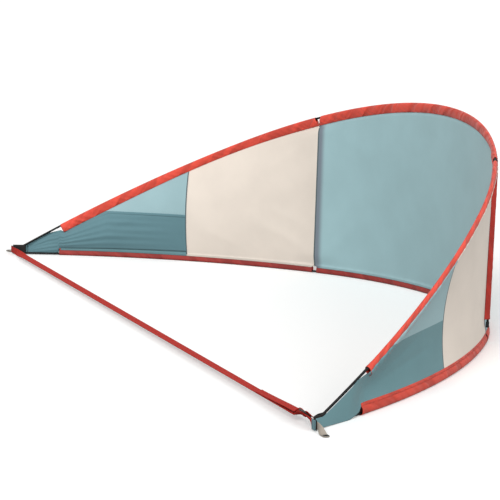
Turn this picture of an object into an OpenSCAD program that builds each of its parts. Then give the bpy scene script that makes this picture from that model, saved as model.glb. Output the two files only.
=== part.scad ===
// Beach windbreak: a cloth wall stretched between a ground bow and a leaning top bow,
// propped by two uprights and held in shape by a strap from tip to tip.

/* [Bows] */
// Distance between the two tips
span = 3100; // [2950:10:3200]
// Radius of the ground pole's middle arc
ground_mid_r = 1265; // [1100:5:1400]
// Half angle of the ground pole's middle arc
ground_mid_a = 33; // [29:0.5:36]
// Angle of the ground pole's ends, turned from the line between the tips
ground_tip_a = 62; // [58:0.5:66]
// Radius of the top pole's middle arc
top_mid_r = 1404; // [1250:2:1560]
// Half angle of the top pole's middle arc
top_mid_a = 46.75; // [44:0.25:49]
// Angle of the top pole's ends within its plane, turned from the line between the tips
top_tip_a = 70; // [66:0.5:72]
// Length of straight pole at each end of both bows
pole_end_l = 60; // [40:5:100]
// Lean of the top pole's plane, up from the ground
top_lean = 30.6; // [27:0.1:34]
// Height of the top pole's ends
tip_rise = 30; // [27:1:36]
// Diameter of every pole
pole_d = 8; // [6:0.5:8.5]

/* [Wall] */
// Length of the back panel along the ground pole
back_low_w = 1510; // [1400:10:1600]
// Length of the back panel along the top pole
back_high_w = 1516; // [1400:2:1620]
// Length of a side panel along the ground pole
side_low_w = 576; // [500:5:620]
// Length of a side panel along the top pole
side_high_w = 641; // [560:2:680]
// Thickness of the wall's cloth with its lining
cloth_t = 1.6; // [1:0.2:2]
// Inward sag of the back panel at half height
back_sag = 14; // [0:1:25]
// Inward sag of the wall at the wing seams, at half height
wing_sag = 20; // [0:1:30]
// Height of the sand pockets' upper edge
pocket_h = 184; // [150:1:200]

/* [Sleeves] */
// Depth of the top pole's sleeves, from the pole to the seam
top_sleeve_h = 30; // [24:1:36]
// Depth of the ground pole's sleeves, from the pole to the seam
ground_sleeve_h = 22; // [18:1:28]
// Half width of a sleeve where it is fullest
sleeve_half_w = 7; // [6.5:0.25:9]
// Thickness of the sleeve's cloth with its seams
sleeve_t = 1; // [0.6:0.1:1.2]
// Length of bare top pole between a tip and its sleeve
top_bare_l = 210; // [180:5:240]
// Length of bare ground pole between a tip and its sleeve
ground_bare_l = 165; // [150:5:190]
// Gap between two top sleeves at an upright, along the pole
top_gap = 26; // [22:1:36]
// Gap between two ground sleeves at an upright
ground_gap = 20; // [14:1:36]

/* [Uprights] */
// Distance of an upright's axis outside the line between the two bows
upright_out = 4; // [2:0.5:5]
// Distance of the wall inside the line between the two bows, along an upright
upright_in = 13; // [11:0.5:14]
// Distance from the ground pole up to an upright's lower end
foot_rise = 46; // [44:1:52]
// Distance from the top pole down to an upright's upper end
head_drop = 46; // [44:1:52]
// Length of an upright's end cap
cap_l = 18; // [12:1:22]
// Length of bare upright between a cap and its sleeve
foot_bare_l = 10; // [6:1:16]

/* [Tips] */
// Length of a corner pocket on the poles' ends
corner_in = 18; // [14:1:24]
// Length of a corner pocket beyond the poles' ends
corner_out = 34; // [28:1:40]
// Length of wall at a tip whose edges run out past the poles
cover_l = 85; // [75:1:95]
// Length of wall at a tip that passes outside the corner pocket
clear_l = 110; // [100:1:115]
// Distance from a tip at which the wall is back between the poles
shift_l = 205; // [195:1:225]
// Thickness of webbing
webbing_t = 2.2; // [2:0.1:2.6]
// Width of webbing
webbing_w = 25; // [20:1:28]
// Length of a corner's outer ear
ear_l = 22; // [20:1:30]
// Length of a peg tab from the ear to its rounded end
tab_l = 70; // [62:1:84]
// Radius of the peg eyelet's hole
eyelet_r = 4.5; // [3.5:0.25:5]

/* [Strap] */
// Distance from the right tip to the buckle's near edge
buckle_in = 22; // [18:1:40]
// Height of the strap at the buckle
buckle_z = 28; // [24:1:32]
// Turn of the buckle from lying flat
buckle_turn = 45; // [30:1:50]
// Length of the buckle along the strap
buckle_l = 34; // [32:1:40]
// Thickness of the buckle's frame
buckle_t = 5; // [4:0.5:6]
// Length of the strap's loose tail
tail_l = 330; // [200:5:400]

/* [Hidden] */

// Room between pieces that lie against each other
fit = 0.3;
// Room around a pole inside its sleeve
slack = 0.6;
pole_r = pole_d / 2;
sleeve_in_r = pole_r + slack;
sleeve_out_r = sleeve_in_r + sleeve_t;
// Height of the ground pole's axis
ground_z = sleeve_out_r;
half_span = span / 2;

// Colours
pole_black = "#1c1d1f";
sleeve_red = "#df4a3c";
strap_red = "#c9402f";
wall_blue = "#8fb3ba";
pocket_blue = "#6c979f";
wall_cream = "#e6dccf";
corner_black = "#22201f";
tab_grey = "#a79f94";
buckle_grey = "#4a4a46";

// Length of an arc
function arc_l(r, a) = r * a * PI / 180;
// Radius of a bow's side arcs, which bring its ends out to the half span
function side_r(r1, a1, a2) = (half_span - r1 * sin(a1) - pole_end_l * cos(a2)) / (sin(a2) - sin(a1));
// Length of half a bow
function half_l(r1, a1, r2, a2) = arc_l(r1, a1) + arc_l(r2, a2 - a1) + pole_end_l;
// Point on half a bow at the length s from its crown: across, then forward
function half_bow(s, r1, a1, r2, a2) =
    let (
        l1 = arc_l(r1, a1),
        l2 = arc_l(r2, a2 - a1),
        p = min(s, l1) * 180 / (PI * r1),
        q = a1 + max(0, min(s - l1, l2)) * 180 / (PI * r2),
        e = max(0, s - l1 - l2)
    )
    [
        r1 * sin(p) + r2 * (sin(q) - sin(a1)) + e * cos(a2),
        r1 * (1 - cos(p)) + r2 * (cos(a1) - cos(q)) + e * sin(a2)
    ];
ground_side_r = side_r(ground_mid_r, ground_mid_a, ground_tip_a);
top_side_r = side_r(top_mid_r, top_mid_a, top_tip_a);
function ground_bow(s) = half_bow(s, ground_mid_r, ground_mid_a, ground_side_r, ground_tip_a);
function top_bow(s) = half_bow(s, top_mid_r, top_mid_a, top_side_r, top_tip_a);

ground_half_l = half_l(ground_mid_r, ground_mid_a, ground_side_r, ground_tip_a);
top_half_l = half_l(top_mid_r, top_mid_a, top_side_r, top_tip_a);
ground_depth = ground_bow(ground_half_l)[1];
top_depth = top_bow(top_half_l)[1];

// A corner pocket lies midway between the two poles' ends, seen from above
top_plan_a = atan2(sin(top_tip_a) * cos(top_lean), cos(top_tip_a));
corner_a = (ground_tip_a + top_plan_a) / 2;
corner_spread = corner_in * sin(abs(top_plan_a - ground_tip_a) / 2);
corner_half = pole_r + corner_spread + 2 * fit;
// Middle of a corner pocket's outer end, where its ear begins, measured from the poles' ends
corner_end_x = half_span + corner_out * cos(corner_a) + corner_half * sin(corner_a);
corner_front = corner_out * sin(corner_a) - (corner_half - webbing_t) * cos(corner_a) + fit;
ear_y = webbing_t / 2 - corner_front;
strap_y = ear_y - webbing_t;

// The strap is the foremost piece and the ground sleeve's back the rearmost
origin_y = (ground_depth + sleeve_half_w + strap_y - webbing_w / 2) / 2;

// Stations along the wall: 0 crown, 1 upright, 2 wing seam, 3 tip; the left side counts below 0
function ground_s(u) =
    lookup(abs(u), [[0, 0], [1, back_low_w / 2], [2, back_low_w / 2 + side_low_w], [3, ground_half_l]]);
function top_s(u) =
    lookup(abs(u), [[0, 0], [1, back_high_w / 2], [2, back_high_w / 2 + side_high_w], [3, top_half_l]]);
function side_of(u) = u < 0 ? -1 : 1;
function ground_at(u) =
    let (p = ground_bow(ground_s(u)))
    [side_of(u) * p[0], ground_depth - p[1] - origin_y, ground_z];
function top_at(u) =
    let (p = top_bow(top_s(u)), d = top_depth - p[1])
    [side_of(u) * p[0], d * cos(top_lean) - origin_y, tip_rise + d * sin(top_lean)];

function unit(v) = v / norm(v);
function across(v, t) = unit(v - (v * t) * t);
function mix(a, b, k) = a + (b - a) * k;
function ease(k) = let (c = max(0, min(1, k))) c * c * (3 - 2 * c);

step_u = 0.004;
function ground_dir(u) = unit(ground_at(min(u + step_u, 3)) - ground_at(max(u - step_u, -3)));
function top_dir(u) = unit(top_at(min(u + step_u, 3)) - top_at(max(u - step_u, -3)));
function wall_up(u) = unit(top_at(u) - ground_at(u));
// Direction out of the wall, away from the shelter
function wall_out(u) = unit(cross(wall_up(u), ground_dir(u)));

// Station at a fraction of half a bow
function ground_u(k) =
    side_of(k) * lookup(abs(k) * ground_half_l, [for (u = [0 : 3]) [ground_s(u), u]]);
function top_u(k) =
    side_of(k) * lookup(abs(k) * top_half_l, [for (u = [0 : 3]) [top_s(u), u]]);

// Stations where the sleeves begin and end
function station(s, low, high, first) = first + (s - low) / (high - low);
top_mouth_u = station(top_half_l - top_bare_l, top_s(2), top_half_l, 2);
ground_mouth_u = station(ground_half_l - ground_bare_l, ground_s(2), ground_half_l, 2);
// The top sleeves' ends slant, so that the gap closes towards the seam
slant_l = top_gap / 2 - 1;
top_gap_in_u = 1 - top_gap / back_high_w;
top_gap_out_u = 1 + top_gap / 2 / side_high_w;
ground_gap_in_u = 1 - ground_gap / back_low_w;
ground_gap_out_u = 1 + ground_gap / 2 / side_low_w;

// Outline of a sleeve's section around the pole: away from the wall, then towards it
function sleeve_side(h, r, half, inset) = [
    [r * sin(90), r * -cos(90)],
    [half, h * 0.38],
    [half * 0.72, h * 0.7],
    [inset > 0 ? 0.2 : 1.2, h - inset]
];
function sleeve_section(h, r, half, inset) =
    let (wing = sleeve_side(h, r, half, inset))
    concat(
        [for (a = [-60 : 30 : 60]) [r * sin(a), -r * cos(a)]],
        wing,
        [for (i = [3 : -1 : 0]) [-wing[i][0], wing[i][1]]]
    );
function placed(section, p, out, in) = [for (q = section) p + q[0] * out + q[1] * in];

// Hollow sweep: each ring holds m points around the outside, then m around the hollow
module hollow_sweep(rings, m) {
    n = len(rings);
    w = 2 * m;
    walls = [
        for (i = [0 : n - 2], j = [0 : m - 1])
            let (k = (j + 1) % m)
            each [
                [i * w + j, (i + 1) * w + j, (i + 1) * w + k, i * w + k],
                [i * w + m + k, (i + 1) * w + m + k, (i + 1) * w + m + j, i * w + m + j]
            ]
    ];
    last = (n - 1) * w;
    ends = [
        for (j = [0 : m - 1])
            let (k = (j + 1) % m)
            each [[j, k, m + k, m + j], [last + k, last + j, last + m + j, last + m + k]]
    ];
    polyhedron([for (ring = rings) each ring], triangles(concat(walls, ends)));
}

// Thin sheet between two grids of points of the same size
module sheet(front, back) {
    n = len(front);
    m = len(front[0]);
    c = n * m;
    faces = [
        for (i = [0 : n - 2], j = [0 : m - 2])
            let (a = i * m + j, b = a + m)
            each [[a, b, b + 1, a + 1], [c + a + 1, c + b + 1, c + b, c + a]]
    ];
    rims = [
        for (i = [0 : n - 2])
            let (a = i * m, b = a + m, t = a + m - 1)
            each [[a, c + a, c + b, b], [t, t + m, c + t + m, c + t]]
    ];
    sides = [
        for (j = [0 : m - 2])
            let (a = j, z = (n - 1) * m + j)
            each [[a, a + 1, c + a + 1, c + a], [z, c + z, c + z + 1, z + 1]]
    ];
    polyhedron([for (g = [front, back]) for (row = g) each row], triangles(concat(faces, rims, sides)));
}
function triangles(quads) = [for (q = quads) each [[q[0], q[2], q[1]], [q[0], q[3], q[2]]]];

// Flat webbing along the x axis: each station holds x, y, z and its turn from lying flat
module webbing(stations, w) {
    function edge(s, k, f) =
        let (c = cos(s[3]), d = sin(s[3]))
        [s[0], s[1] + k * c - f * d, s[2] + k * d + f * c];
    sheet(
        [for (s = stations) [for (k = [-w / 2, w / 2]) edge(s, k, webbing_t / 2)]],
        [for (s = stations) [for (k = [-w / 2, w / 2]) edge(s, k, -webbing_t / 2)]]
    );
}

// Round rod swept along a list of points, each with two directions across it
rod_sides = 10;
module rod(stations) {
    n = len(stations);
    points = [
        for (s = stations, j = [0 : rod_sides - 1])
            let (a = 360 * j / rod_sides)
            s[0] + pole_r * (cos(a) * s[1] + sin(a) * s[2])
    ];
    walls = [
        for (i = [0 : n - 2], j = [0 : rod_sides - 1])
            let (k = (j + 1) % rod_sides, c = i * rod_sides)
            [c + j, c + rod_sides + j, c + rod_sides + k, c + k]
    ];
    last = (n - 1) * rod_sides;
    ends = [
        for (j = [1 : rod_sides - 2])
            each [[0, j + 1, j], [last, last + j, last + j + 1]]
    ];
    polyhedron(points, concat(triangles(walls), ends));
}

// Stations of a whole bow, even along each half
pole_n = 28;
pole_steps = [for (i = [-pole_n : pole_n]) i / pole_n];

module top_pole() {
    color(pole_black)
        rod([
            for (k = pole_steps)
                let (u = top_u(k), t = top_dir(u), b = across(wall_up(u), t))
                [top_at(u), cross(t, b), b]
        ]);
}

module ground_pole() {
    color(pole_black)
        rod([
            for (k = pole_steps)
                let (u = ground_u(k), t = ground_dir(u), b = across(wall_up(u), t))
                [ground_at(u), cross(t, b), b]
        ]);
}

// Sleeve on the top pole between two stations, each end slanted by a length along the pole
module top_sleeve(u0, u1, n, slant0, slant1) {
    outer = sleeve_section(top_sleeve_h, sleeve_out_r, sleeve_half_w, 0);
    inner = sleeve_section(top_sleeve_h, sleeve_in_r, sleeve_half_w - sleeve_t, 2 * sleeve_t);
    color(sleeve_red)
        hollow_sweep([
            for (i = [0 : n])
                let (
                    u = mix(u0, u1, i / n),
                    t = top_dir(u),
                    in = -across(wall_up(u), t),
                    out = cross(t, in),
                    slant = i == 0 ? slant0 : i == n ? slant1 : 0,
                    down = in + t * slant / top_sleeve_h
                )
                concat(placed(outer, top_at(u), out, down), placed(inner, top_at(u), out, down))
        ], len(outer));
}

// Sleeve on the ground pole between two stations
module ground_sleeve(u0, u1, n) {
    outer = sleeve_section(ground_sleeve_h, sleeve_out_r, sleeve_half_w, 0);
    inner = sleeve_section(ground_sleeve_h, sleeve_in_r, sleeve_half_w - sleeve_t, 2 * sleeve_t);
    color(sleeve_red)
        hollow_sweep([
            for (i = [0 : n])
                let (
                    u = mix(u0, u1, i / n),
                    t = ground_dir(u),
                    in = across(wall_up(u), t),
                    out = cross(t, in)
                )
                concat(placed(outer, ground_at(u), out, in), placed(inner, ground_at(u), out, in))
        ], len(outer));
}

middle_n = 20;
flank_n = 18;
module middle_top_sleeve() {
    top_sleeve(-top_gap_in_u, top_gap_in_u, middle_n, -slant_l, slant_l);
}
module right_top_sleeve() {
    top_sleeve(top_gap_out_u, top_mouth_u, flank_n, -slant_l, 0);
}
module middle_ground_sleeve() {
    ground_sleeve(-ground_gap_in_u, ground_gap_in_u, middle_n);
}
module right_ground_sleeve() {
    ground_sleeve(ground_gap_out_u, ground_mouth_u, flank_n);
}

// Distance of the wall's edges from the poles: a sleeve's depth, running out past the pole near a tip
cover = 5;
function draw_in(k) = let (c = max(0, min(1, k))) c * c * (2 - c);
function top_edge(u) =
    let (d = top_half_l - top_s(u))
    mix(-cover, top_sleeve_h + fit, draw_in((d - cover_l) / (top_bare_l - cover_l)));
function ground_edge(u) =
    let (d = ground_half_l - ground_s(u))
    mix(1 - cover, ground_sleeve_h + fit, draw_in((d - cover_l) / (ground_bare_l - cover_l)));
// Near a tip the wall passes outside the corner pocket and runs on with it as a square flap
tip_shift = corner_half + webbing_t + corner_spread + 1.5 + cloth_t / 2;
flap_l = corner_out - 3;
flap_dir = [cos(corner_a), -sin(corner_a), 0];
function wall_shift(u) =
    let (d = ground_half_l - ground_s(u))
    tip_shift * (1 - ease((d - clear_l) / (shift_l - clear_l)));
function sag(u) =
    abs(u) < 1
        ? back_sag * cos(90 * u)
        : wing_sag * sin(90 * (abs(u) - 1)) * (1 - wall_shift(u) / tip_shift);
// Beside an upright the wall is drawn in by an even amount over nearly its whole height
low_ramp = 0.08;
high_ramp = 0.05;
upright_reach = 0.25;
function flat_part(v) = ease(v / low_ramp) * ease((1 - v) / high_ramp);
function near_upright(u) = 1 - ease(abs(abs(u) - 1) / upright_reach);
function bulge(u, v) = mix(sag(u) * 4 * v * (1 - v), upright_in * flat_part(v), near_upright(u));
// Middle of the wall's cloth at station u and height fraction v
function wall_at(u, v) =
    let (
        low = ground_at(u) + across(wall_up(u), ground_dir(u)) * ground_edge(u),
        high = top_at(u) - across(wall_up(u), top_dir(u)) * top_edge(u)
    )
    mix(low, high, v) + wall_out(u) * (wall_shift(u) - bulge(u, v));

// Wall cloth at the stations given and, where asked for, a flap beyond the last one
wall_rows = [0, low_ramp / 2, low_ramp, 0.3, 0.54, 0.76, 1 - high_ramp, 1 - high_ramp / 2, 1];
module wall_panel(u0, u1, n, flap, tint) {
    stations = concat([for (i = [0 : n]) [mix(u0, u1, i / n), 0]], flap > 0 ? [[u1, flap]] : []);
    function face(k) = [
        for (s = stations)
            let (o = wall_out(s[0]) * k * cloth_t / 2 + flap_dir * s[1])
            [for (v = wall_rows) wall_at(s[0], v) + o]
    ];
    color(tint)
        sheet(face(-1), face(1));
}

// Pocket cloth against the inner face of a wing, up to a level edge
pocket_off = cloth_t + 2 * fit;
wing_n = 20;
function pocket_top(u) =
    let (low = wall_at(u, 0)[2], high = wall_at(u, 1)[2])
    min(0.96, (pocket_h - low) / (high - low));
pocket_end_l = corner_in + 6;
pocket_end_u = station(ground_half_l - pocket_end_l, ground_s(2), ground_half_l, 2);
pocket_low = 0.03;
pocket_rows = 8;
module sand_pocket() {
    wing_u = [for (i = [0 : wing_n - 1]) 2 + i / wing_n];
    stations = concat([for (u = wing_u) if (u < pocket_end_u - 0.01) u], [pocket_end_u]);
    function face(off) = [
        for (u = stations)
            let (o = wall_out(u) * off)
            [for (j = [0 : pocket_rows]) wall_at(u, mix(pocket_low, pocket_top(u), j / pocket_rows)) - o]
    ];
    color(pocket_blue)
        sheet(face(pocket_off + cloth_t / 2), face(pocket_off - cloth_t / 2));
}

// Places children in a frame of three directions at a point
module in_frame(x, y, z, p) {
    multmatrix([
        [x[0], y[0], z[0], p[0]],
        [x[1], y[1], z[1], p[1]],
        [x[2], y[2], z[2], p[2]],
        [0, 0, 0, 1]
    ])
        children();
}

// Frame of the right upright: x out of the wall, z up along the wall from the ground pole
upright_h = norm(top_at(1) - ground_at(1));
module at_upright() {
    in_frame(wall_out(1), cross(wall_up(1), wall_out(1)), wall_up(1), ground_at(1))
        children();
}

upright_top = upright_h - head_drop;
cap_r = pole_r + 1.5;
cap_floor = 4;
module upright_pole() {
    color(pole_black)
        at_upright()
            translate([upright_out, 0, foot_rise + cap_floor])
                cylinder(r = pole_r, h = upright_top - foot_rise - 2 * cap_floor, $fn = 32);
}

// Cap on an upright's end, its floor at the origin
module end_cap() {
    rotate_extrude($fn = 48)
        polygon([
            [0, 0], [cap_r - 1, 0], [cap_r, 1], [cap_r, cap_l],
            [pole_r, cap_l], [pole_r, cap_floor], [0, cap_floor]
        ]);
}

module foot_cap() {
    color(pole_black)
        at_upright()
            translate([upright_out, 0, foot_rise])
                end_cap();
}

module head_cap() {
    color(pole_black)
        at_upright()
            translate([upright_out, 0, upright_top])
                mirror([0, 0, 1])
                    end_cap();
}

// Sleeve of an upright, sewn to the wall along its edge and closed over the head cap
upright_in_r = cap_r + fit;
upright_out_r = upright_in_r + sleeve_t;
upright_sleeve_low = foot_rise + cap_l + foot_bare_l;
upright_sleeve_high = upright_top + 6;
seam_x = cloth_t / 2 + 2 * fit - upright_in;
module upright_sleeve() {
    d = upright_out - seam_x;
    color(sleeve_red)
        at_upright()
            translate([0, 0, upright_sleeve_low])
                linear_extrude(height = upright_sleeve_high - upright_sleeve_low)
                    difference() {
                        upright_section(upright_out_r, upright_out_r + 0.2, d, 0);
                        upright_section(upright_in_r, upright_in_r + 0.2, d, 2 * sleeve_t);
                    }
}
module upright_section(r, half, d, inset) {
    translate([upright_out, 0])
        circle(r = r, $fn = 48);
    wing = sleeve_side(d, r, half, inset);
    translate([upright_out, 0])
        polygon(concat(
            [for (q = wing) [-q[1], q[0]]],
            [for (i = [3 : -1 : 0]) [-wing[i][1], -wing[i][0]]]
        ));
}

// Black pocket at the right tip: webbing folded around the ends of both poles and drawn flat beyond them,
// with an ear for the strap and the tab
corner_base = 1;
corner_top = tip_rise + pole_r + 4;
ear_z = corner_base + 2;
ear_h = webbing_w + 4;
ear_root = 4;
module corner_pocket() {
    wide = corner_half + webbing_t;
    color(corner_black)
        translate([0, -origin_y, 0]) {
            translate([half_span, 0, corner_base])
                rotate([0, 0, 180 - corner_a])
                    linear_extrude(height = corner_top - corner_base)
                        difference() {
                            polygon([
                                [-corner_out, -wide], [corner_in, -wide], [corner_in, wide],
                                [-2, wide], [-corner_out, webbing_t - corner_half]
                            ]);
                            polygon([
                                [-corner_out / 2, -corner_half], [corner_in + 1, -corner_half],
                                [corner_in + 1, corner_half], [-2, corner_half]
                            ]);
                        }
            translate([corner_end_x - ear_root, ear_y - webbing_t / 2, ear_z])
                cube([ear_l + ear_root, webbing_t, ear_h]);
        }
}

ear_mid_z = ear_z + ear_h / 2;
ear_x = corner_end_x + ear_l;
tab_x = ear_x + tab_l;
flange_t = 0.8;
flange_r = eyelet_r + 4.5;
barrel_r = eyelet_r + 1.5;
eyelet_x = tab_x - webbing_w / 2;
tab_z = flange_t + webbing_t / 2;
tab_twist_n = 8;
tab_root_x = corner_end_x + tip_shift;
tab_y = ear_y + webbing_t;
tab_flat_x = eyelet_x - webbing_w / 2;
// Turn of webbing that stands on edge
on_edge = 90;
module peg_tab() {
    color(tab_grey)
        translate([0, -origin_y, 0])
            difference() {
                union() {
                    webbing(concat(
                        [[tab_root_x, tab_y, ear_mid_z, on_edge]],
                        [for (i = [0 : tab_twist_n])
                            let (k = ease(i / tab_twist_n))
                            [
                                mix(ear_x, tab_flat_x, i / tab_twist_n), tab_y,
                                mix(ear_mid_z, tab_z, k), on_edge * (1 - k)
                            ]],
                        [[eyelet_x, tab_y, tab_z, 0]]
                    ), webbing_w);
                    translate([eyelet_x, tab_y, flange_t])
                        cylinder(d = webbing_w, h = webbing_t, $fn = 48);
                }
                translate([eyelet_x, tab_y, 0])
                    cylinder(r = barrel_r + 0.1, h = 10, $fn = 48);
            }
}

module peg_eyelet() {
    color(corner_black)
        translate([eyelet_x, tab_y - origin_y, 0])
            rotate_extrude($fn = 48)
                polygon([
                    [eyelet_r, 0], [flange_r, 0], [flange_r, flange_t], [barrel_r, flange_t],
                    [barrel_r, flange_t + webbing_t], [flange_r, flange_t + webbing_t],
                    [flange_r, 2 * flange_t + webbing_t], [eyelet_r, 2 * flange_t + webbing_t]
                ]);
}

// Strap line: on edge at the left ear, soon nearly flat, tipped the other way at the buckle
strap_tilt = 15;
strap_twist = 0.12;
buckle_twist = 0.9;
strap_steps = concat(
    [for (i = [0 : 7]) strap_twist * i / 8],
    [for (i = [0 : 7]) mix(strap_twist, buckle_twist, i / 8)],
    [for (i = [0 : 8]) mix(buckle_twist, 1, i / 8)]
);
function strap_turn(k) =
    (on_edge - strap_tilt) * (1 - ease(k / strap_twist))
    + strap_tilt * (1 - k)
    - buckle_turn * ease((k - buckle_twist) / (1 - buckle_twist));
buckle_x = half_span - buckle_in;
buckle_w = webbing_w + 11;
bar = 5;
slot = (buckle_l - 3 * bar) / 2;
// Bend of the webbing around a bar, clear of the bar's corners
bend_in = norm([bar / 2, buckle_t / 2]) + fit;
bend_out = bend_in + webbing_t;
bend_mid = (bend_in + bend_out) / 2;
strap_bar_x = buckle_x - buckle_l + bar / 2;
loop_bar_x = buckle_x - bar / 2;
// Straight webbing before a bar
lead = 20;
strap_from_x = -corner_end_x;
strap_to_x = strap_bar_x - lead;
// Station of the strap at a fraction of its length, or of webbing lying above it
function strap_at(k, above) =
    let (t = strap_turn(k))
    [
        mix(strap_from_x, strap_to_x, k), strap_y - above * sin(t),
        mix(ear_mid_z, buckle_z, k) + above * cos(t), t
    ];
// The tail lies along the strap and lifts towards the bar it is wound around
tail_n = 12;
tail_k = 1 - (tail_l - lead) / (strap_to_x - strap_from_x);
tail_low = webbing_t + 0.8;
function tail_at(i) =
    let (k = mix(tail_k, 1, i / tail_n))
    strap_at(k, mix(tail_low, 2 * bend_mid, ease(i / tail_n)));
function at_bar(s) = [strap_bar_x, s[1], s[2], s[3]];

// Places children on the buckle's middle plane, turned with it
module at_buckle(x) {
    translate([x, strap_y, buckle_z])
        rotate([-buckle_turn, 0, 0])
            translate([0, 0, bend_mid])
                children();
}

// Webbing folded around a bar of the buckle, lying along the strap: two legs and a round bend
module fold(low_l, high_l) {
    translate([0, webbing_w / 2, 0])
        rotate([90, 0, 0])
            linear_extrude(height = webbing_w) {
                difference() {
                    circle(r = bend_out, $fn = 48);
                    circle(r = bend_in, $fn = 48);
                    translate([-2 * bend_out, -bend_out])
                        square([2 * bend_out, 2 * bend_out]);
                }
                translate([-low_l, -bend_out])
                    square([low_l, webbing_t]);
                translate([-high_l, bend_in])
                    square([high_l, webbing_t]);
            }
}

module ground_strap() {
    start = [4 - ear_x, strap_y, ear_mid_z, on_edge];
    run = [for (k = strap_steps) strap_at(k, 0)];
    tail = [for (i = [0 : tail_n]) tail_at(i)];
    color(strap_red)
        translate([0, -origin_y, 0]) {
            webbing(concat([start], run, [at_bar(strap_at(1, 0))]), webbing_w);
            webbing(concat(tail, [at_bar(tail_at(tail_n))]), webbing_w);
            at_buckle(strap_bar_x)
                fold(1, 1);
        }
}

module strap_buckle() {
    color(buckle_grey)
        translate([0, -origin_y, 0])
            at_buckle(buckle_x - buckle_l / 2)
                translate([0, 0, -buckle_t / 2])
                    difference() {
                        linear_extrude(height = buckle_t)
                            square([buckle_l, buckle_w], center = true);
                        for (x = [-1, 1])
                            translate([x * (bar + slot) / 2, 0, -1])
                                linear_extrude(height = buckle_t + 2)
                                    square([slot, webbing_w + 1], center = true);
                    }
}

// Loop from the buckle to the right ear, turning on edge as it gets there
module buckle_loop() {
    twist_n = 6;
    near_x = loop_bar_x + 10;
    far_x = corner_end_x - 2;
    color(strap_red)
        translate([0, -origin_y, 0]) {
            webbing(concat(
                [[loop_bar_x, strap_y, buckle_z, -buckle_turn]],
                [for (i = [0 : twist_n])
                    let (k = ease(i / twist_n))
                    [
                        mix(near_x, far_x, i / twist_n), strap_y,
                        mix(buckle_z, ear_mid_z, k), mix(-buckle_turn, -on_edge, k)
                    ]],
                [[ear_x - 4, strap_y, ear_mid_z, -on_edge]]
            ), webbing_w);
            at_buckle(loop_bar_x)
                mirror([1, 0, 0])
                    fold(1, 12);
        }
}

module on_left() {
    mirror([1, 0, 0])
        children();
}

top_pole();
ground_pole();
on_left() upright_pole();  // left_upright_pole
upright_pole();  // right_upright_pole
on_left() head_cap();  // left_head_cap
head_cap();  // right_head_cap
on_left() foot_cap();  // left_foot_cap
foot_cap();  // right_foot_cap
on_left() right_top_sleeve();  // left_top_sleeve
middle_top_sleeve();
right_top_sleeve();
on_left() right_ground_sleeve();  // left_ground_sleeve
middle_ground_sleeve();
right_ground_sleeve();
on_left() upright_sleeve();  // left_upright_sleeve
upright_sleeve();  // right_upright_sleeve
on_left() wall_panel(2, 3, wing_n, flap_l, wall_blue);  // left_wing_panel
on_left() wall_panel(1, 2, 12, 0, wall_cream);  // left_side_panel
wall_panel(-1, 1, 24, 0, wall_blue);  // back_panel
wall_panel(1, 2, 12, 0, wall_cream);  // right_side_panel
wall_panel(2, 3, wing_n, flap_l, wall_blue);  // right_wing_panel
on_left() sand_pocket();  // left_sand_pocket
sand_pocket();  // right_sand_pocket
on_left() corner_pocket();  // left_corner_pocket
corner_pocket();  // right_corner_pocket
on_left() peg_tab();  // left_peg_tab
peg_tab();  // right_peg_tab
on_left() peg_eyelet();  // left_peg_eyelet
peg_eyelet();  // right_peg_eyelet
ground_strap();
strap_buckle();
buckle_loop();
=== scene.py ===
"""Beach windbreak: a cloth wall between a ground bow and a leaning top bow, with strap and peg tabs."""

import logging
import math
from dataclasses import dataclass, field
from enum import Enum
from typing import Callable, Optional, Sequence

import bmesh
import bpy
from bmesh.types import BMesh
from bpy.types import Material, Node, NodeSocket, NodeTree, Object
from mathutils import Matrix, Vector


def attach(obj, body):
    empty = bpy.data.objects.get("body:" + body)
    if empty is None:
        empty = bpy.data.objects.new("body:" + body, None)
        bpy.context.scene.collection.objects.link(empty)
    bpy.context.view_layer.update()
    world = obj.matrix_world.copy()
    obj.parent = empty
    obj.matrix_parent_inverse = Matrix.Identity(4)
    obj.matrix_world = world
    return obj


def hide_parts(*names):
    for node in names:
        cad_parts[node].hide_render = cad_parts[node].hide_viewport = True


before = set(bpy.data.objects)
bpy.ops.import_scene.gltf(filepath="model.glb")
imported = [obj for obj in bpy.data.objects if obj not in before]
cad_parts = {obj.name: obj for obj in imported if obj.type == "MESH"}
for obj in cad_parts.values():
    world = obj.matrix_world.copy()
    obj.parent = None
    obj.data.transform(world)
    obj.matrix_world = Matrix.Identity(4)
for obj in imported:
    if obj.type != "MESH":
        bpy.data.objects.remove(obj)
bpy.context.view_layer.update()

LOG = logging.getLogger("windbreak")
MM = 0.001
CLOTH_T = 0.5
SOFT_SHARE = 0.3
STITCH_SHARE = 0.62
THREAD_SHARE = 0.6
# A wave texture at scale 1 repeats after this length
WAVE_L = 2 * math.pi / 20


class Side(Enum):
    """The two halves of the windbreak, with the sign of their x."""

    LEFT = -1
    RIGHT = 1

    @property
    def word(self) -> str:
        """Name of this side as the parts spell it."""
        return self.name.lower()


class Edge(Enum):
    """The two poles that the wall hangs between."""

    TOP = "top"
    GROUND = "ground"


def ease(k: float) -> float:
    """Smooth step from 0 to 1, level at both ends."""
    c = min(1.0, max(0.0, k))
    return c * c * (3 - 2 * c)


def mix(a, b, k: float):
    """Value or point at the fraction k from a to b."""
    return a + (b - a) * k


def hump(distance: float, width: float) -> float:
    """Bell of height 1 around a line, falling off over the given width."""
    return math.exp(-((distance / width) ** 2))


def linear(code: str) -> tuple[float, float, float, float]:
    """Turns an sRGB hex colour into linear values.

    Args:
        code: Six hex digits.

    Returns:
        Red, green, blue and an alpha of 1.
    """
    parts = [int(code[i : i + 2], 16) / 255 for i in (0, 2, 4)]
    r, g, b = (c / 12.92 if c <= 0.04045 else ((c + 0.055) / 1.055) ** 2.4 for c in parts)
    return (r, g, b, 1.0)


# Geometry that all pieces share


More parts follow.
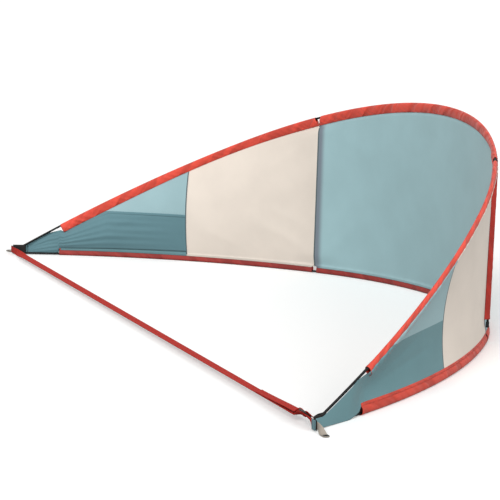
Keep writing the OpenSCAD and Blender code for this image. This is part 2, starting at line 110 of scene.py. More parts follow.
@dataclass(frozen=True)
class Bow:
    """One bent pole seen square on: middle arc, side arcs and straight ends, in millimetres and degrees."""

    mid_r: float
    mid_a: float
    tip_a: float
    half_span: float = 1550.0
    end_l: float = 60.0

    @property
    def side_r(self) -> float:
        """Radius of the side arcs, which bring the ends out to the half span."""
        a1, a2 = math.radians(self.mid_a), math.radians(self.tip_a)
        reach = self.half_span - self.mid_r * math.sin(a1) - self.end_l * math.cos(a2)
        return reach / (math.sin(a2) - math.sin(a1))

    @property
    def half_l(self) -> float:
        """Length from the crown to one end."""
        a1, a2 = math.radians(self.mid_a), math.radians(self.tip_a)
        return self.mid_r * a1 + self.side_r * (a2 - a1) + self.end_l

    def point(self, s: float) -> tuple[float, float]:
        """Place on the bow at the length s from its crown.

        Args:
            s: Length along the pole.

        Returns:
            Distance across from the middle, and distance forward from the crown.
        """
        a1, a2, r1, r2 = math.radians(self.mid_a), math.radians(self.tip_a), self.mid_r, self.side_r
        l1, l2 = r1 * a1, r2 * (a2 - a1)
        p = min(s, l1) / r1
        q = a1 + max(0.0, min(s - l1, l2)) / r2
        e = max(0.0, s - l1 - l2)
        return (
            r1 * math.sin(p) + r2 * (math.sin(q) - math.sin(a1)) + e * math.cos(a2),
            r1 * (1 - math.cos(p)) + r2 * (math.cos(a1) - math.cos(q)) + e * math.sin(a2),
        )


@dataclass(frozen=True)
class Column:
    """The wall at one station: both poles, both cloth edges and the directions there. Points in metres."""

    ground: Vector
    top: Vector
    low: Vector
    high: Vector
    up: Vector
    out: Vector
    along: Vector
    top_along: Vector
    shift: float

    @property
    def tall(self) -> float:
        """Distance between the two cloth edges, in metres."""
        return (self.high - self.low).length


@dataclass(frozen=True)
class Fold:
    """A crease in stretched cloth from one station and height fraction to another, in millimetres."""

    start: tuple[float, float]
    end: tuple[float, float]
    depth: float
    width: float


@dataclass
class Shelter:
    """Shape of the whole wall, in millimetres and degrees.

    Stations run from 0 at the crown to 1 at an upright, 2 at a wing's seam and 3 at a tip.
    On the left they are below 0. Pairs of sizes are for the left and the right.
    """

    ground: Bow = Bow(1265, 33, 62)
    top: Bow = Bow(1404, 46.75, 70)
    top_lean: float = 30.6
    tip_rise: float = 30.0
    pole_r: float = 4.0
    sleeve_r: float = 5.6
    sleeve_half_w: float = 7.0
    top_sleeve_h: float = 30.0
    waist: float = 6.0
    waist_end: float = 1.6
    ground_sleeve_h: float = 22.0
    top_bare: tuple[float, float] = (188.0, 222.0)
    ground_bare: tuple[float, float] = (160.0, 180.0)
    top_tip: tuple[float, float] = (4.0, -2.0)
    top_hug: tuple[float, float] = (20.0, 17.0)
    ground_tip: float = -2.2
    ground_hug: tuple[float, float] = (2.0, 11.0)
    open_l: float = 62.0
    mouth_l: float = 8.0
    top_gap: float = 26.0
    ground_gap: float = 20.0
    back_low_w: float = 1510.0
    back_high_w: float = 1516.0
    side_low_w: float = 576.0
    side_high_w: float = 641.0
    back_sag: float = 14.0
    wing_sag: float = 20.0
    pocket_h: float = 184.0
    upright_in: float = 7.0
    upright_out: float = 4.0
    upright_reach: float = 0.25
    low_ramp: float = 0.08
    high_ramp: float = 0.05
    foot_rise: float = 46.0
    head_drop: float = 46.0
    cap_l: float = 18.0
    corner_in: float = 18.0
    corner_out: float = 34.0
    webbing_t: float = 2.2
    webbing_w: float = 25.0
    cloth_t: float = 1.6
    fit: float = 0.3
    tip_gap: float = 1.5
    flap_short: float = 3.0
    girth_share: float = 2.16
    pocket_most: float = 0.96
    clear_l: float = 110.0
    shift_l: float = 205.0
    cut_steps: int = 200
    columns: dict = field(default_factory=dict, repr=False)

    def __post_init__(self) -> None:
        """Works out the sizes that follow from the others."""
        lean, tip = math.radians(self.top_lean), math.radians(self.top.tip_a)
        plan = math.degrees(math.atan2(math.sin(tip) * math.cos(lean), math.cos(tip)))
        self.corner_a = math.radians((self.ground.tip_a + plan) / 2)
        self.corner_spread = self.corner_in * math.sin(math.radians(abs(plan - self.ground.tip_a) / 2))
        self.corner_half = self.pole_r + self.corner_spread + 2 * self.fit
        ca, sa = math.cos(self.corner_a), math.sin(self.corner_a)
        self.corner_end_x = self.ground.half_span + self.corner_out * ca + self.corner_half * sa
        front = self.corner_out * sa - (self.corner_half - self.webbing_t) * ca + self.fit
        self.ear_y = self.webbing_t / 2 - front
        self.strap_y = self.ear_y - self.webbing_t
        self.ground_depth = self.ground.point(self.ground.half_l)[1]
        self.top_depth = self.top.point(self.top.half_l)[1]
        self.origin_y = (self.ground_depth + self.sleeve_half_w + self.strap_y - self.webbing_w / 2) / 2
        pocket_half = self.corner_half + self.webbing_t + self.corner_spread
        self.tip_shift = pocket_half + self.tip_gap + self.cloth_t / 2
        self.flap_dir = Vector((ca, -sa, 0))
        self.flap_l = self.corner_out - self.flap_short

    def marks(self, edge: Edge) -> tuple[float, float, float, float]:
        """Lengths along a pole at which the whole stations lie."""
        if edge is Edge.TOP:
            half = self.back_high_w / 2
            return (0.0, half, half + self.side_high_w, self.top.half_l)
        half = self.back_low_w / 2
        return (0.0, half, half + self.side_low_w, self.ground.half_l)

    def length_at(self, edge: Edge, u: float) -> float:
        """Length along a pole at a station, on either side."""
        marks, k = self.marks(edge), min(2, int(abs(u)))
        return mix(marks[k], marks[k + 1], abs(u) - k)

    def run(self, edge: Edge, u0: float, u1: float) -> float:
        """Length along a pole from one station to another."""
        return abs(self.length_at(edge, u1) - math.copysign(1, u0 * u1) * self.length_at(edge, u0))

    def station_at(self, edge: Edge, s: float) -> float:
        """Station on the right side at a length along a pole."""
        marks = self.marks(edge)
        k = max(i for i in range(3) if marks[i] <= s + 1e-9)
        return k + (s - marks[k]) / (marks[k + 1] - marks[k])

    def pole(self, edge: Edge, u: float) -> Vector:
        """Point on a pole's axis at a station, in metres."""
        sign = -1 if u < 0 else 1
        if edge is Edge.GROUND:
            x, y = self.ground.point(self.length_at(edge, u))
            return Vector((sign * x, self.ground_depth - y - self.origin_y, self.sleeve_r)) * MM
        x, y = self.top.point(self.length_at(edge, u))
        d, lean = self.top_depth - y, math.radians(self.top_lean)
        back, rise = d * math.cos(lean) - self.origin_y, self.tip_rise + d * math.sin(lean)
        return Vector((sign * x, back, rise)) * MM

    def direction(self, edge: Edge, u: float) -> Vector:
        """Direction of a pole at a station, towards the right tip."""
        step = 0.004
        return (self.pole(edge, min(u + step, 3)) - self.pole(edge, max(u - step, -3))).normalized()

    def girth(self, edge: Edge) -> float:
        """Length of cloth around a sleeve on a bent pole, in millimetres."""
        depth = self.top_sleeve_h if edge is Edge.TOP else self.ground_sleeve_h
        return self.girth_share * (depth + self.sleeve_r)

    def bare(self, edge: Edge, u: float) -> float:
        """Length of bare pole between a tip and its sleeve, on the side of a station."""
        return (self.top_bare if edge is Edge.TOP else self.ground_bare)[int(u > 0)]

    def sleeve_h(self, edge: Edge, u: float) -> float:
        """Depth of a sleeve from its pole to its seam; the top pole's side sleeves have a waist."""
        if edge is Edge.GROUND:
            return self.ground_sleeve_h
        k = min(1.0, max(0.0, (abs(u) - 1) / self.waist_end))
        return self.top_sleeve_h - self.waist * math.sin(math.pi * k) ** 2

    def edge_in(self, d: float, bare: float, tip: float, hug: float, seam: float) -> float:
        """Distance of the cloth's edge from a pole.

        Args:
            d: Length along the pole from its tip.
            bare: Length of bare pole.
            tip: Distance at the tip.
            hug: Distance beside the sleeve's mouth.
            seam: Distance in the sleeve.

        Returns:
            The distance in millimetres, above 0 towards the wall's middle.
        """
        along = mix(tip, hug, min(1.0, max(0.0, 1 + (d - bare) / self.open_l)))
        return mix(along, seam, ease((d - bare + self.mouth_l) / self.mouth_l))

    def column(self, u: float) -> Column:
        """Everything about the wall at one station, worked out once."""
        key = round(u, 6)
        if key not in self.columns:
            ground, top = self.pole(Edge.GROUND, u), self.pole(Edge.TOP, u)
            along, top_along = self.direction(Edge.GROUND, u), self.direction(Edge.TOP, u)
            up = (top - ground).normalized()
            out = up.cross(along).normalized()
            rise = (up - up.dot(along) * along).normalized()
            fall = (up - up.dot(top_along) * top_along).normalized()
            near = self.ground.half_l - self.length_at(Edge.GROUND, u)
            far = self.top.half_l - self.length_at(Edge.TOP, u)
            low_hug, high_tip, high_hug = (
                pair[int(u > 0)] for pair in (self.ground_hug, self.top_tip, self.top_hug)
            )
            low_in = self.edge_in(
                near, self.bare(Edge.GROUND, u), self.ground_tip, low_hug, self.ground_sleeve_h
            )
            high_in = self.edge_in(
                far, self.bare(Edge.TOP, u), high_tip, high_hug, self.sleeve_h(Edge.TOP, u)
            )
            shift = self.tip_shift * (1 - ease((near - self.clear_l) / (self.shift_l - self.clear_l)))
            low, high = ground + rise * low_in * MM, top - fall * high_in * MM
            self.columns[key] = Column(ground, top, low, high, up, out, along, top_along, shift)
        return self.columns[key]

    def bulge(self, u: float, v: float) -> float:
        """How far the cloth hangs inwards at a station and height fraction, in millimetres."""
        a = abs(u)
        if a < 1:
            sag = self.back_sag * math.cos(math.pi / 2 * a)
        else:
            slack = 1 - self.column(u).shift / self.tip_shift
            sag = self.wing_sag * math.sin(math.pi / 2 * (a - 1)) * slack
        level = ease(v / self.low_ramp) * ease((1 - v) / self.high_ramp)
        near = 1 - ease(abs(a - 1) / self.upright_reach)
        return mix(sag * 4 * v * (1 - v), self.upright_in * level, near)

    def cloth(self, u: float, v: float, off: float = 0.0, beyond: float = 0.0) -> Vector:
        """Place on the wall's cloth.

        Args:
            u: Station along the wall.
            v: Height fraction between the two edges.
            off: Distance out of the wall, in millimetres.
            beyond: Distance past a tip along the wing, in millimetres.

        Returns:
            The point, in metres.
        """
        c = self.column(u)
        point = c.low.lerp(c.high, v) + c.out * ((c.shift - self.bulge(u, v) + off) * MM)
        if beyond:
            way = self.flap_dir.copy()
            way.x *= -1 if u < 0 else 1
            point += way * beyond * MM
        return point

    def cut_area(
        self, u0: float, u1: float, low: Callable[[float], float], high: Callable[[float], float]
    ) -> float:
        """Area of flat cloth between two lines on the wall, without its sag, folds and laps.

        Args:
            u0: First station.
            u1: Last station.
            low: Height fraction of the lower line at a station.
            high: Height fraction of the upper line at a station.

        Returns:
            The area, in square metres.
        """
        lines = []
        for i in range(self.cut_steps + 1):
            u = mix(u0, u1, i / self.cut_steps)
            c = self.column(u)
            lines.append((c.low.lerp(c.high, low(u)), c.low.lerp(c.high, high(u))))
        total = 0.0
        for (a, b), (d, e) in zip(lines, lines[1:]):
            total += ((d - a).cross(e - a).length + (e - a).cross(b - a).length) / 2
        return total

    def pocket_top(self, u: float) -> float:
        """Height fraction of a sand pocket's level edge."""
        c = self.column(u)
        return min(self.pocket_most, (self.pocket_h * MM - c.low.z) / (c.high.z - c.low.z))


# Building meshes


def new_object(name: str, bm: BMesh, smooth: bool = True) -> Object:
    """Makes an object at the origin from a bmesh, and frees it.

    Args:
        name: Name of the object and its mesh.
        bm: The finished shape, in metres.
        smooth: Whether its faces are shaded smooth.

    Returns:
        The linked object.
    """
    mesh = bpy.data.meshes.new(name)
    bm.to_mesh(mesh)
    bm.free()
    for face in mesh.polygons:
        face.use_smooth = smooth
    piece = bpy.data.objects.new(name, mesh)
    bpy.context.scene.collection.objects.link(piece)
    return piece


def surface(
    name: str,
    cuts: tuple[int, int],
    place: Callable[[float, float], Vector],
    size: tuple[float, float],
    facing: Optional[Vector] = None,
    tube: bool = False,
) -> Object:
    """Maps a flat grid onto a curved surface, with a UV map in metres.

    Args:
        name: Name of the object.
        cuts: Number of faces along and across.
        place: Point of the surface for fractions along and across.
        size: Length along and across, in metres.
        facing: Direction that the middle of the sheet faces, where it matters.
        tube: Whether the surface closes on itself across, with its faces outwards.

    Returns:
        The new object.
    """
    bm = bmesh.new()
    layer = bm.loops.layers.uv.new("UVMap")
    bmesh.ops.create_grid(bm, x_segments=cuts[0], y_segments=cuts[1], size=0.5)
    spots = {v: (v.co.x + 0.5, v.co.y + 0.5) for v in bm.verts}
    for face in bm.faces:
        for loop in face.loops:
            a, b = spots[loop.vert]
            loop[layer].uv = (a * size[0], b * size[1])
    for v, (a, b) in spots.items():
        v.co = place(a, b)
    if tube:
        bmesh.ops.remove_doubles(bm, verts=bm.verts, dist=1e-6)
    bm.normal_update()
    if tube or facing is not None:
        turned = 0.0
        for face in bm.faces:
            hint = facing
            if tube:
                a = sum(loop[layer].uv.x for loop in face.loops) / len(face.loops) / size[0]
                ring = [place(a, k / 4) for k in range(4)]
                hint = face.calc_center_median() - sum(ring, Vector()) / 4
            turned += face.normal.dot(hint)
        if turned < 0:
            bmesh.ops.reverse_faces(bm, faces=bm.faces)
    return new_object(name, bm)


def thicken(piece: Object, thickness: float, offset: float = 0.0) -> None:
    """Gives a sheet its thickness in millimetres; offset -1 keeps the face that points outwards."""
    wall = piece.modifiers.new("thickness", "SOLIDIFY")
    wall.thickness = thickness * MM
    wall.offset = offset
    wall.use_even_offset = False


def ribbon(
    name: str, path: Sequence[tuple[Vector, Vector]], width: float, thickness: float, across: int = 6
) -> Object:
    """Sweeps flat webbing along a path.

    Args:
        name: Name of the object.
        path: Points in metres, each with the unit direction across the webbing.
        width: Width in millimetres.
        thickness: Thickness in millimetres.
        across: Number of faces across the width.

    Returns:
        The new object.
    """
    lengths = [0.0]
    for (a, _), (b, _) in zip(path, path[1:]):
        lengths.append(lengths[-1] + (b - a).length)

    def place(a: float, b: float) -> Vector:
        """Point of the webbing's middle layer."""
        p, d = path[round(a * (len(path) - 1))]
        return p + d * ((b - 0.5) * width * MM)

    piece = surface(name, (len(path) - 1, across), place, (lengths[-1], width * MM))
    thicken(piece, thickness)
    soft = piece.modifiers.new("soft_edge", "BEVEL")
    soft.width = SOFT_SHARE * thickness * MM
    soft.segments = 2
    soft.limit_method = "ANGLE"
    return piece


def rod(name: str, path: Sequence[Vector], radius: float, sides: int = 16) -> Object:
    """Sweeps a round rod with closed ends along a smooth path.

    Args:
        name: Name of the object.
        path: Points of the axis, in metres.
        radius: Radius in millimetres.
        sides: Number of faces around.

    Returns:
        The new object.
    """
    bm = bmesh.new()
    layer = bm.loops.layers.uv.new("UVMap")
    rings, travelled = [], 0.0
    last = len(path) - 1
    for i, p in enumerate(path):
        way = (path[min(i + 1, last)] - path[max(i - 1, 0)]).normalized()
        side = way.cross(Vector((0, 0, 1))).normalized()
        turn = Matrix((side, way.cross(side), way)).transposed().to_4x4()
        spot, closed = Matrix.Translation(p) @ turn, i in (0, last)
        made = bmesh.ops.create_circle(bm, segments=sides, radius=radius * MM, cap_ends=closed, matrix=spot)
        rings.append(made["verts"])
    for a, b in zip(rings, rings[1:]):
        step = (b[0].co - a[0].co).length
        for j in range(sides):
            k = (j + 1) % sides
            face = bm.faces.new((a[j], a[k], b[k], b[j]))
            for loop, (along, around) in zip(face.loops, ((0, j), (0, j + 1), (1, j + 1), (1, j))):
                loop[layer].uv = (travelled + along * step, around / sides * 2 * math.pi * radius * MM)
        travelled += step
    bmesh.ops.recalc_face_normals(bm, faces=bm.faces)
    return new_object(name, bm)


def sewn_row(bm: BMesh, line: Sequence[tuple[Vector, Vector]], pitch: float, thick: float = 0.8) -> None:
    """Adds a row of stitches along a line.

    Args:
        bm: Shape that takes the stitches.
        line: Points in metres, each with the unit direction out of the cloth.
        pitch: Distance from stitch to stitch, in millimetres.
        thick: Thickness of the thread, in millimetres.
    """
    left = 0.0
    for (a, n), (b, _) in zip(line, line[1:]):
        run = (b - a).length / MM
        way = (b - a).normalized()
        while left < run:
            side = way.cross(n).normalized()
            turn = Matrix((way, side, side.cross(way) * -1)).transposed().to_4x4()
            shape = Matrix.Diagonal((pitch * STITCH_SHARE * MM, thick * MM, thick * THREAD_SHARE * MM, 1))
            spot = Matrix.Translation(a.lerp(b, left / run))
            bmesh.ops.create_cube(bm, size=1, matrix=spot @ turn @ shape)
            left += pitch
        left -= run


# Finishes


def add(tree: NodeTree, kind: str, inputs: Optional[dict] = None, **settings) -> Node:
    """Adds a node with its settings, values and links.

    Args:
        tree: Node tree of the material.
        kind: Node type.
        inputs: Value or output socket for each input, by its name or number.
        **settings: Properties of the node.

    Returns:
        The new node.
    """
    node = tree.nodes.new(kind)
    for name, value in settings.items():
        setattr(node, name, value)
    for name, value in (inputs or {}).items():
        if isinstance(value, NodeSocket):
            tree.links.new(value, node.inputs[name])
        else:
            node.inputs[name].default_value = value
    return node


def bands(pitch: float) -> float:
    """Scale of a wave texture whose bands lie a pitch in millimetres apart, on coordinates in metres."""
    return WAVE_L / (pitch * MM)


@dataclass(frozen=True)
class Finish:
    """A material's name, record slot and colour, with what all finishes share."""

    name: str
    slot: str
    colour: str
    roughness: float

    def start(self) -> tuple[Material, NodeTree, Node]:
        """Makes the material with an empty tree and its coordinates.

        Returns:
            The material, its tree and the coordinate node.
        """
        material = bpy.data.materials.new(self.name)
        material.use_nodes = True
        tree = material.node_tree
        tree.nodes.clear()
        return material, tree, add(tree, "ShaderNodeTexCoord")

    def end(self, tree: NodeTree, inputs: dict) -> None:
        """Ends the tree with a shader and the output."""
        shader = add(tree, "ShaderNodeBsdfPrincipled", {"Roughness": self.roughness, **inputs})
        add(tree, "ShaderNodeOutputMaterial", {"Surface": shader.outputs["BSDF"]})


@dataclass(frozen=True)
class Polyester(Finish):
    """Woven polyester, dyed and coated: dull, even colour, a fine weave and a slight sheen at low angles."""

    weave: float = 2.4
    doubled_shade: Optional[str] = None
    line_h: float = 0.0
    inner: Optional[str] = None
    half_girth: float = 0.0
    shadow_band: Optional[str] = None
    shadow_band_w: float = 0.0
    panel_l: float = 0.0
    crumple: float = 0.0
    lap_l: float = 0.0

    def blend(
        self,
        tree: NodeTree,
        share: NodeSocket,
        first: NodeSocket,
        second: str,
        shade: NodeSocket,
    ) -> NodeSocket:
        """Mixes a second colour in by a share.

        Args:
            tree: Node tree of the material.
            share: Share of the second colour.
            first: Socket of the first colour.
            second: The second colour, as hex digits.
            shade: Unevenness of the dye, with the painted shade, that the second colour takes.

        Returns:
            Socket of the mixed colour.
        """
        other = add(
            tree, "ShaderNodeVectorMath", {0: linear(second)[:3], "Scale": shade}, operation="SCALE"
        )
        both = add(
            tree,
            "ShaderNodeMix",
            {"Factor": share, 4: first, 5: other.outputs["Vector"]},
            data_type="VECTOR",
        )
        return both.outputs[1]

    def build(self) -> Material:
        """Makes the material: weave and dye, then, where it has them, painted shade on laps, puckers with
        painted shade and highlight, painted shade below a level line or on a sleeve's inner half, and painted
        shadow bands.
        """
        material, tree, coords = self.start()
        uv = coords.outputs["UV"]
        # The threads lie about 0.3 mm apart; they are drawn 1.6 or 2.4 mm apart, so that they show
        wave = {"Vector": uv, "Scale": bands(self.weave), "Distortion": 0.6}
        warp, weft = (
            add(tree, "ShaderNodeTexWave", wave, bands_direction=way).outputs["Fac"] for way in "XY"
        )
        weave = add(tree, "ShaderNodeMath", {0: warp, 1: weft}, operation="MULTIPLY").outputs["Value"]
        relief = add(tree, "ShaderNodeBump", {"Height": weave, "Strength": 0.25, "Distance": 0.0002})
        # Slight unevenness of the dye, in patches of about 120 mm
        patch = add(
            tree, "ShaderNodeTexNoise", {"Vector": coords.outputs["Object"], "Scale": 8.0, "Detail": 3.0}
        )
        # The dye varies in patches at random; the weave's hollows get a faint painted shade
        tones = [(patch.outputs["Fac"], (0.3, 0.7), (0.96, 1.03)), (weave, (0.0, 1.0), (0.985, 1.01))]
        if self.lap_l:
            # Painted shade on the lap over the ground sleeve, where three layers lie together and less light
            # comes through
            split = add(tree, "ShaderNodeSeparateXYZ", {"Vector": uv})
            tones.append((split.outputs["Y"], (0.8 * self.lap_l, 1.05 * self.lap_l), (0.74, 1.0)))
        if self.crumple:
            # Slanting puckers about 30 mm wide and 160 mm long, as in cloth drawn around a bend
            slanted = add(
                tree,
                "ShaderNodeMapping",
                {"Vector": uv, "Rotation": (0, 0, math.radians(-58)), "Scale": (0.03, 0.16, 1)},
                vector_type="TEXTURE",
            )
            noise = {"Vector": slanted.outputs["Vector"], "Scale": 1.0, "Detail": 1.5, "Distortion": 0.4}
            ridges = add(tree, "ShaderNodeTexNoise", noise)
            raised = add(
                tree,
                "ShaderNodeMapRange",
                {"Value": ridges.outputs["Fac"], "From Min": 0.34, "From Max": 0.66},
                interpolation_type="SMOOTHSTEP",
            ).outputs["Result"]
            crease = add(
                tree, "ShaderNodeBump", {"Height": raised, "Strength": 1.0, "Distance": self.crumple * MM}
            )
            tree.links.new(crease.outputs["Normal"], relief.inputs["Normal"])
            # Painted shade in the puckers' hollows and a painted highlight on their ridges
            tones.append((raised, (0.0, 1.0), (0.78, 1.08)))
        shade = 1.0
        for value, (low, high), (dark, light) in tones:
            span = {"Value": value, "From Min": low, "From Max": high, "To Min": dark, "To Max": light}
            tone = add(tree, "ShaderNodeMapRange", span).outputs["Result"]
            shade = add(tree, "ShaderNodeMath", {0: shade, 1: tone}, operation="MULTIPLY").outputs["Value"]
        base = add(
            tree, "ShaderNodeVectorMath", {0: linear(self.colour)[:3], "Scale": shade}, operation="SCALE"
        )
        colour = base.outputs["Vector"]
        # Painted shade below a level line, where a second layer holds back the light through the cloth, and
        # on a sleeve's inner half beyond half its girth, which faces away from the light
        for second, space, axis, line, soft in (
            (self.doubled_shade, "Object", "Z", self.line_h, -0.0008),
            (self.inner, "UV", "Y", self.half_girth, 0.004),
        ):
            if second is not None:
                split = add(tree, "ShaderNodeSeparateXYZ", {"Vector": coords.outputs[space]})
                span = {"Value": split.outputs[axis], "From Min": line - soft, "From Max": line + soft}
                past = add(tree, "ShaderNodeMapRange", span)
                colour = self.blend(tree, past.outputs["Result"], colour, second, shade)
        # Painted shadow of the uprights' sleeves, as grey bands at both ends of the panel
        if self.shadow_band is not None:
            split = add(tree, "ShaderNodeSeparateXYZ", {"Vector": uv})
            sides = [
                add(
                    tree,
                    "ShaderNodeMapRange",
                    {"Value": split.outputs["X"], "From Min": inside, "From Max": mix(inside, rim, 0.7)},
                    interpolation_type="SMOOTHSTEP",
                ).outputs["Result"]
                for inside, rim in ((self.shadow_band_w, 0.0), (self.panel_l - self.shadow_band_w, self.panel_l))
            ]
            share = add(tree, "ShaderNodeMath", {0: sides[0], 1: sides[1]}, operation="MAXIMUM")
            colour = self.blend(tree, share.outputs["Value"], colour, self.shadow_band, shade)
        sheen = {"Sheen Weight": 0.15, "Sheen Roughness": 0.5, "Specular IOR Level": 0.3}
        self.end(tree, {"Base Color": colour, "Normal": relief.outputs["Normal"], **sheen})
        return material


@dataclass(frozen=True)
class Webbing(Finish):
    """Flat woven polypropylene webbing: a coarse twill with a soft gloss."""

    def build(self) -> Material:
        """Makes the material with ribs along the strap and picks across it."""
        material, tree, coords = self.start()
        # Ribs 3.1 mm apart across the webbing, so that eight show on 25 mm, and picks 2 mm apart along it
        ribs, picks = (
            add(
                tree,
                "ShaderNodeTexWave",
                {"Vector": coords.outputs["UV"], "Scale": bands(pitch), "Distortion": 0.8},
                bands_direction=way,
            ).outputs["Fac"]
            for pitch, way in ((3.1, "Y"), (2.0, "X"))
        )
        height = add(tree, "ShaderNodeMath", {0: ribs, 1: picks}, operation="MULTIPLY")
        # Painted shade in the weave's hollows and a painted highlight on its ribs
        tone = add(
            tree, "ShaderNodeMapRange", {"Value": height.outputs["Value"], "To Min": 0.86, "To Max": 1.04}
        )
        tint = {0: linear(self.colour)[:3], "Scale": tone.outputs["Result"]}
        base = add(tree, "ShaderNodeVectorMath", tint, operation="SCALE")
        relief = add(
            tree, "ShaderNodeBump", {"Height": height.outputs["Value"], "Strength": 0.5, "Distance": 0.0004}
        )
        self.end(
            tree,
            {
                "Base Color": base.outputs["Vector"],
                "Normal": relief.outputs["Normal"],
                "Specular IOR Level": 0.2,
            },
        )
        return material


@dataclass(frozen=True)
class Hard(Finish):
    """A hard surface: drawn fibreglass, moulded plastic or lacquer, with a fine grain in millimetres."""

    grain: float = 3.0

    def build(self) -> Material:
        """Makes the material with a faint grain in tone, gloss and relief."""
        material, tree, coords = self.start()
        grain = add(
            tree,
            "ShaderNodeTexNoise",
            {"Vector": coords.outputs["Object"], "Scale": 1 / (self.grain * MM), "Detail": 4.0},
        )
        tone = add(
            tree, "ShaderNodeMapRange", {"Value": grain.outputs["Fac"], "To Min": 0.8, "To Max": 1.2}
        )
        tint = {0: linear(self.colour)[:3], "Scale": tone.outputs["Result"]}
        base = add(tree, "ShaderNodeVectorMath", tint, operation="SCALE")
        gloss = add(
            tree, "ShaderNodeMapRange",
            {
                "Value": grain.outputs["Fac"],
                "To Min": self.roughness - 0.08,
                "To Max": self.roughness + 0.08,
            },
        )
        relief = add(
            tree, "ShaderNodeBump", {"Height": grain.outputs["Fac"], "Strength": 0.15, "Distance": 0.0002}
        )
        self.end(
            tree,
            {
                "Base Color": base.outputs["Vector"],
                "Roughness": gloss.outputs["Result"],
                "Normal": relief.outputs["Normal"],
                "Specular IOR Level": 0.25,
            },
        )
        return material


class Finishes:
    """All the finishes of the windbreak, each built once."""

    def __init__(self, pocket_h: float, girth: float, back_l: float, laps: Sequence[float]) -> None:
        """Builds the materials.

        Args:
            pocket_h: Height of the sand pockets' edge, in millimetres.
            girth: Length of cloth around a ground sleeve, in millimetres.
            back_l: Length of the back panel, in millimetres.
            laps: Length of the back's, sides' and wings' lap over the ground sleeve on the UV map, in metres,
                where shade is painted.
        """
        self.slots: dict[str, str] = {}
        # Back panel, with painted shadow bands at both ends and painted shade on its lap
        self.blue = self.made(
            Polyester(
                "blue_polyester",
                "blue_polyester",
                "9dbec3",
                0.72,
                shadow_band="78838d",
                shadow_band_w=0.04,
                panel_l=back_l * MM,
                lap_l=laps[0],
            )
        )
        # Wing cloth, painted darker below the sand pockets' edge as the shade of the pocket behind it
        self.wing = self.made(
            Polyester(
                "wing_polyester",
                "blue_polyester",
                "96b4b9",
                0.72,
                doubled_shade="648a90",
                line_h=pocket_h * MM,
                lap_l=laps[2],
            )
        )
        # The pockets' cloth: the wings' blue painted darker as shade, for the light that two layers of cloth
        # hold back
        self.pocket = self.made(Polyester("pocket_polyester", "pocket_polyester", "5c8088", 0.72))
        self.cream = self.made(
            Polyester("cream_polyester", "cream_polyester", "e2d7cb", 0.75, lap_l=laps[1])
        )
        self.red = self.made(Polyester("red_polyester", "red_polyester", "d84a39", 0.66, crumple=5.0))
        # Upright sleeves: the sleeves' red painted darker as shade
        self.shaded_upright_red = self.made(
            Polyester("upright_sleeve_shaded_polyester", "red_polyester", "b02d22", 0.66, crumple=2.0)
        )
        # Ground sleeves: the sleeves' red painted darker as shade, and darker still on the inner half, which
        # lies in shadow
        self.shaded_ground_red = self.made(
            Polyester(
                "ground_sleeve_shaded_polyester",
                "red_polyester",
                "cc4230",
                0.66,
                inner="93302a",
                half_girth=girth / 2 * MM,
                crumple=2.5,
            )
        )
        self.seam = self.made(Polyester("seam_tape", "pocket_polyester", "58666a", 0.75, weave=1.6))
        self.thread = self.made(Hard("sewing_thread", "red_polyester", "c24a3d", 0.6, grain=1.0))
        self.dark_thread = self.made(Hard("bonded_thread", "black_webbing", "2b2d2f", 0.6, grain=1.0))
        self.strap = self.made(Webbing("red_webbing", "red_webbing", "b02a20", 0.75))
        self.black_web = self.made(Webbing("black_webbing", "black_webbing", "221f1e", 0.6))
        self.grey_web = self.made(Webbing("grey_webbing", "grey_webbing", "a39a8f", 0.6))
        self.rod = self.made(Hard("drawn_fibreglass", "black_fibreglass", "0a0a0b", 0.6, grain=2.0))
        self.plastic = self.made(Hard("black_plastic", "black_plastic", "1d1d1f", 0.5, grain=0.8))
        self.buckle = self.made(Hard("moulded_acetal", "grey_plastic", "363632", 0.45, grain=0.8))
        self.eyelet = self.made(Hard("lacquered_brass", "black_eyelet", "262422", 0.35, grain=1.2))

    def made(self, finish) -> Material:
        """Builds one finish and notes its record slot."""
        material = finish.build()
        self.slots[material.name] = finish.slot
        return material

    def dress(self, piece: Object, material: Material, nodes: Sequence[str] = ()) -> Object:
        """Gives a piece its material and body, and hides the solids of the frame that it stands for.

        Args:
            piece: The new piece.
            material: Its finish.
            nodes: Solids of the frame that it replaces.

        Returns:
            The piece.
        """
        piece.data.materials.clear()
        piece.data.materials.append(material)
        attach(piece, "root")
        if nodes:
            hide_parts(*nodes)
        LOG.info("%s: %d faces", piece.name, len(piece.data.polygons))
        return piece


# Sub-assemblies


@dataclass
class Assembly:
    """A group of pieces, with the shape and the finishes that all groups share."""

    shelter: Shelter
    finishes: Finishes

    def sewn(
        self,
        name: str,
        cuts: tuple[int, int],
        place: Callable[[float, float], Vector],
        size: tuple[float, float],
        material: Material,
        nodes: Sequence[str] = (),
        facing: Optional[Vector] = None,
        tube: bool = False,
        thickness: float = CLOTH_T,
    ) -> Object:
        """Makes a dressed piece of cloth.

        Args:
            name: Name of the piece.
            cuts: Number of faces along and across.
            place: Point of the cloth for fractions along and across.
            size: Length along and across, in metres.
            material: Its finish.
            nodes: Solids of the frame that it replaces.
            facing: Direction that a sheet's middle faces, where it matters.
            tube: Whether the cloth closes on itself across; its thickness then lies inside.
            thickness: Thickness in millimetres.

        Returns:
            The piece.
        """
        piece = surface(name, cuts, place, size, facing, tube)
        thicken(piece, thickness, -1 if tube else 0.0)
        return self.finishes.dress(piece, material, nodes)


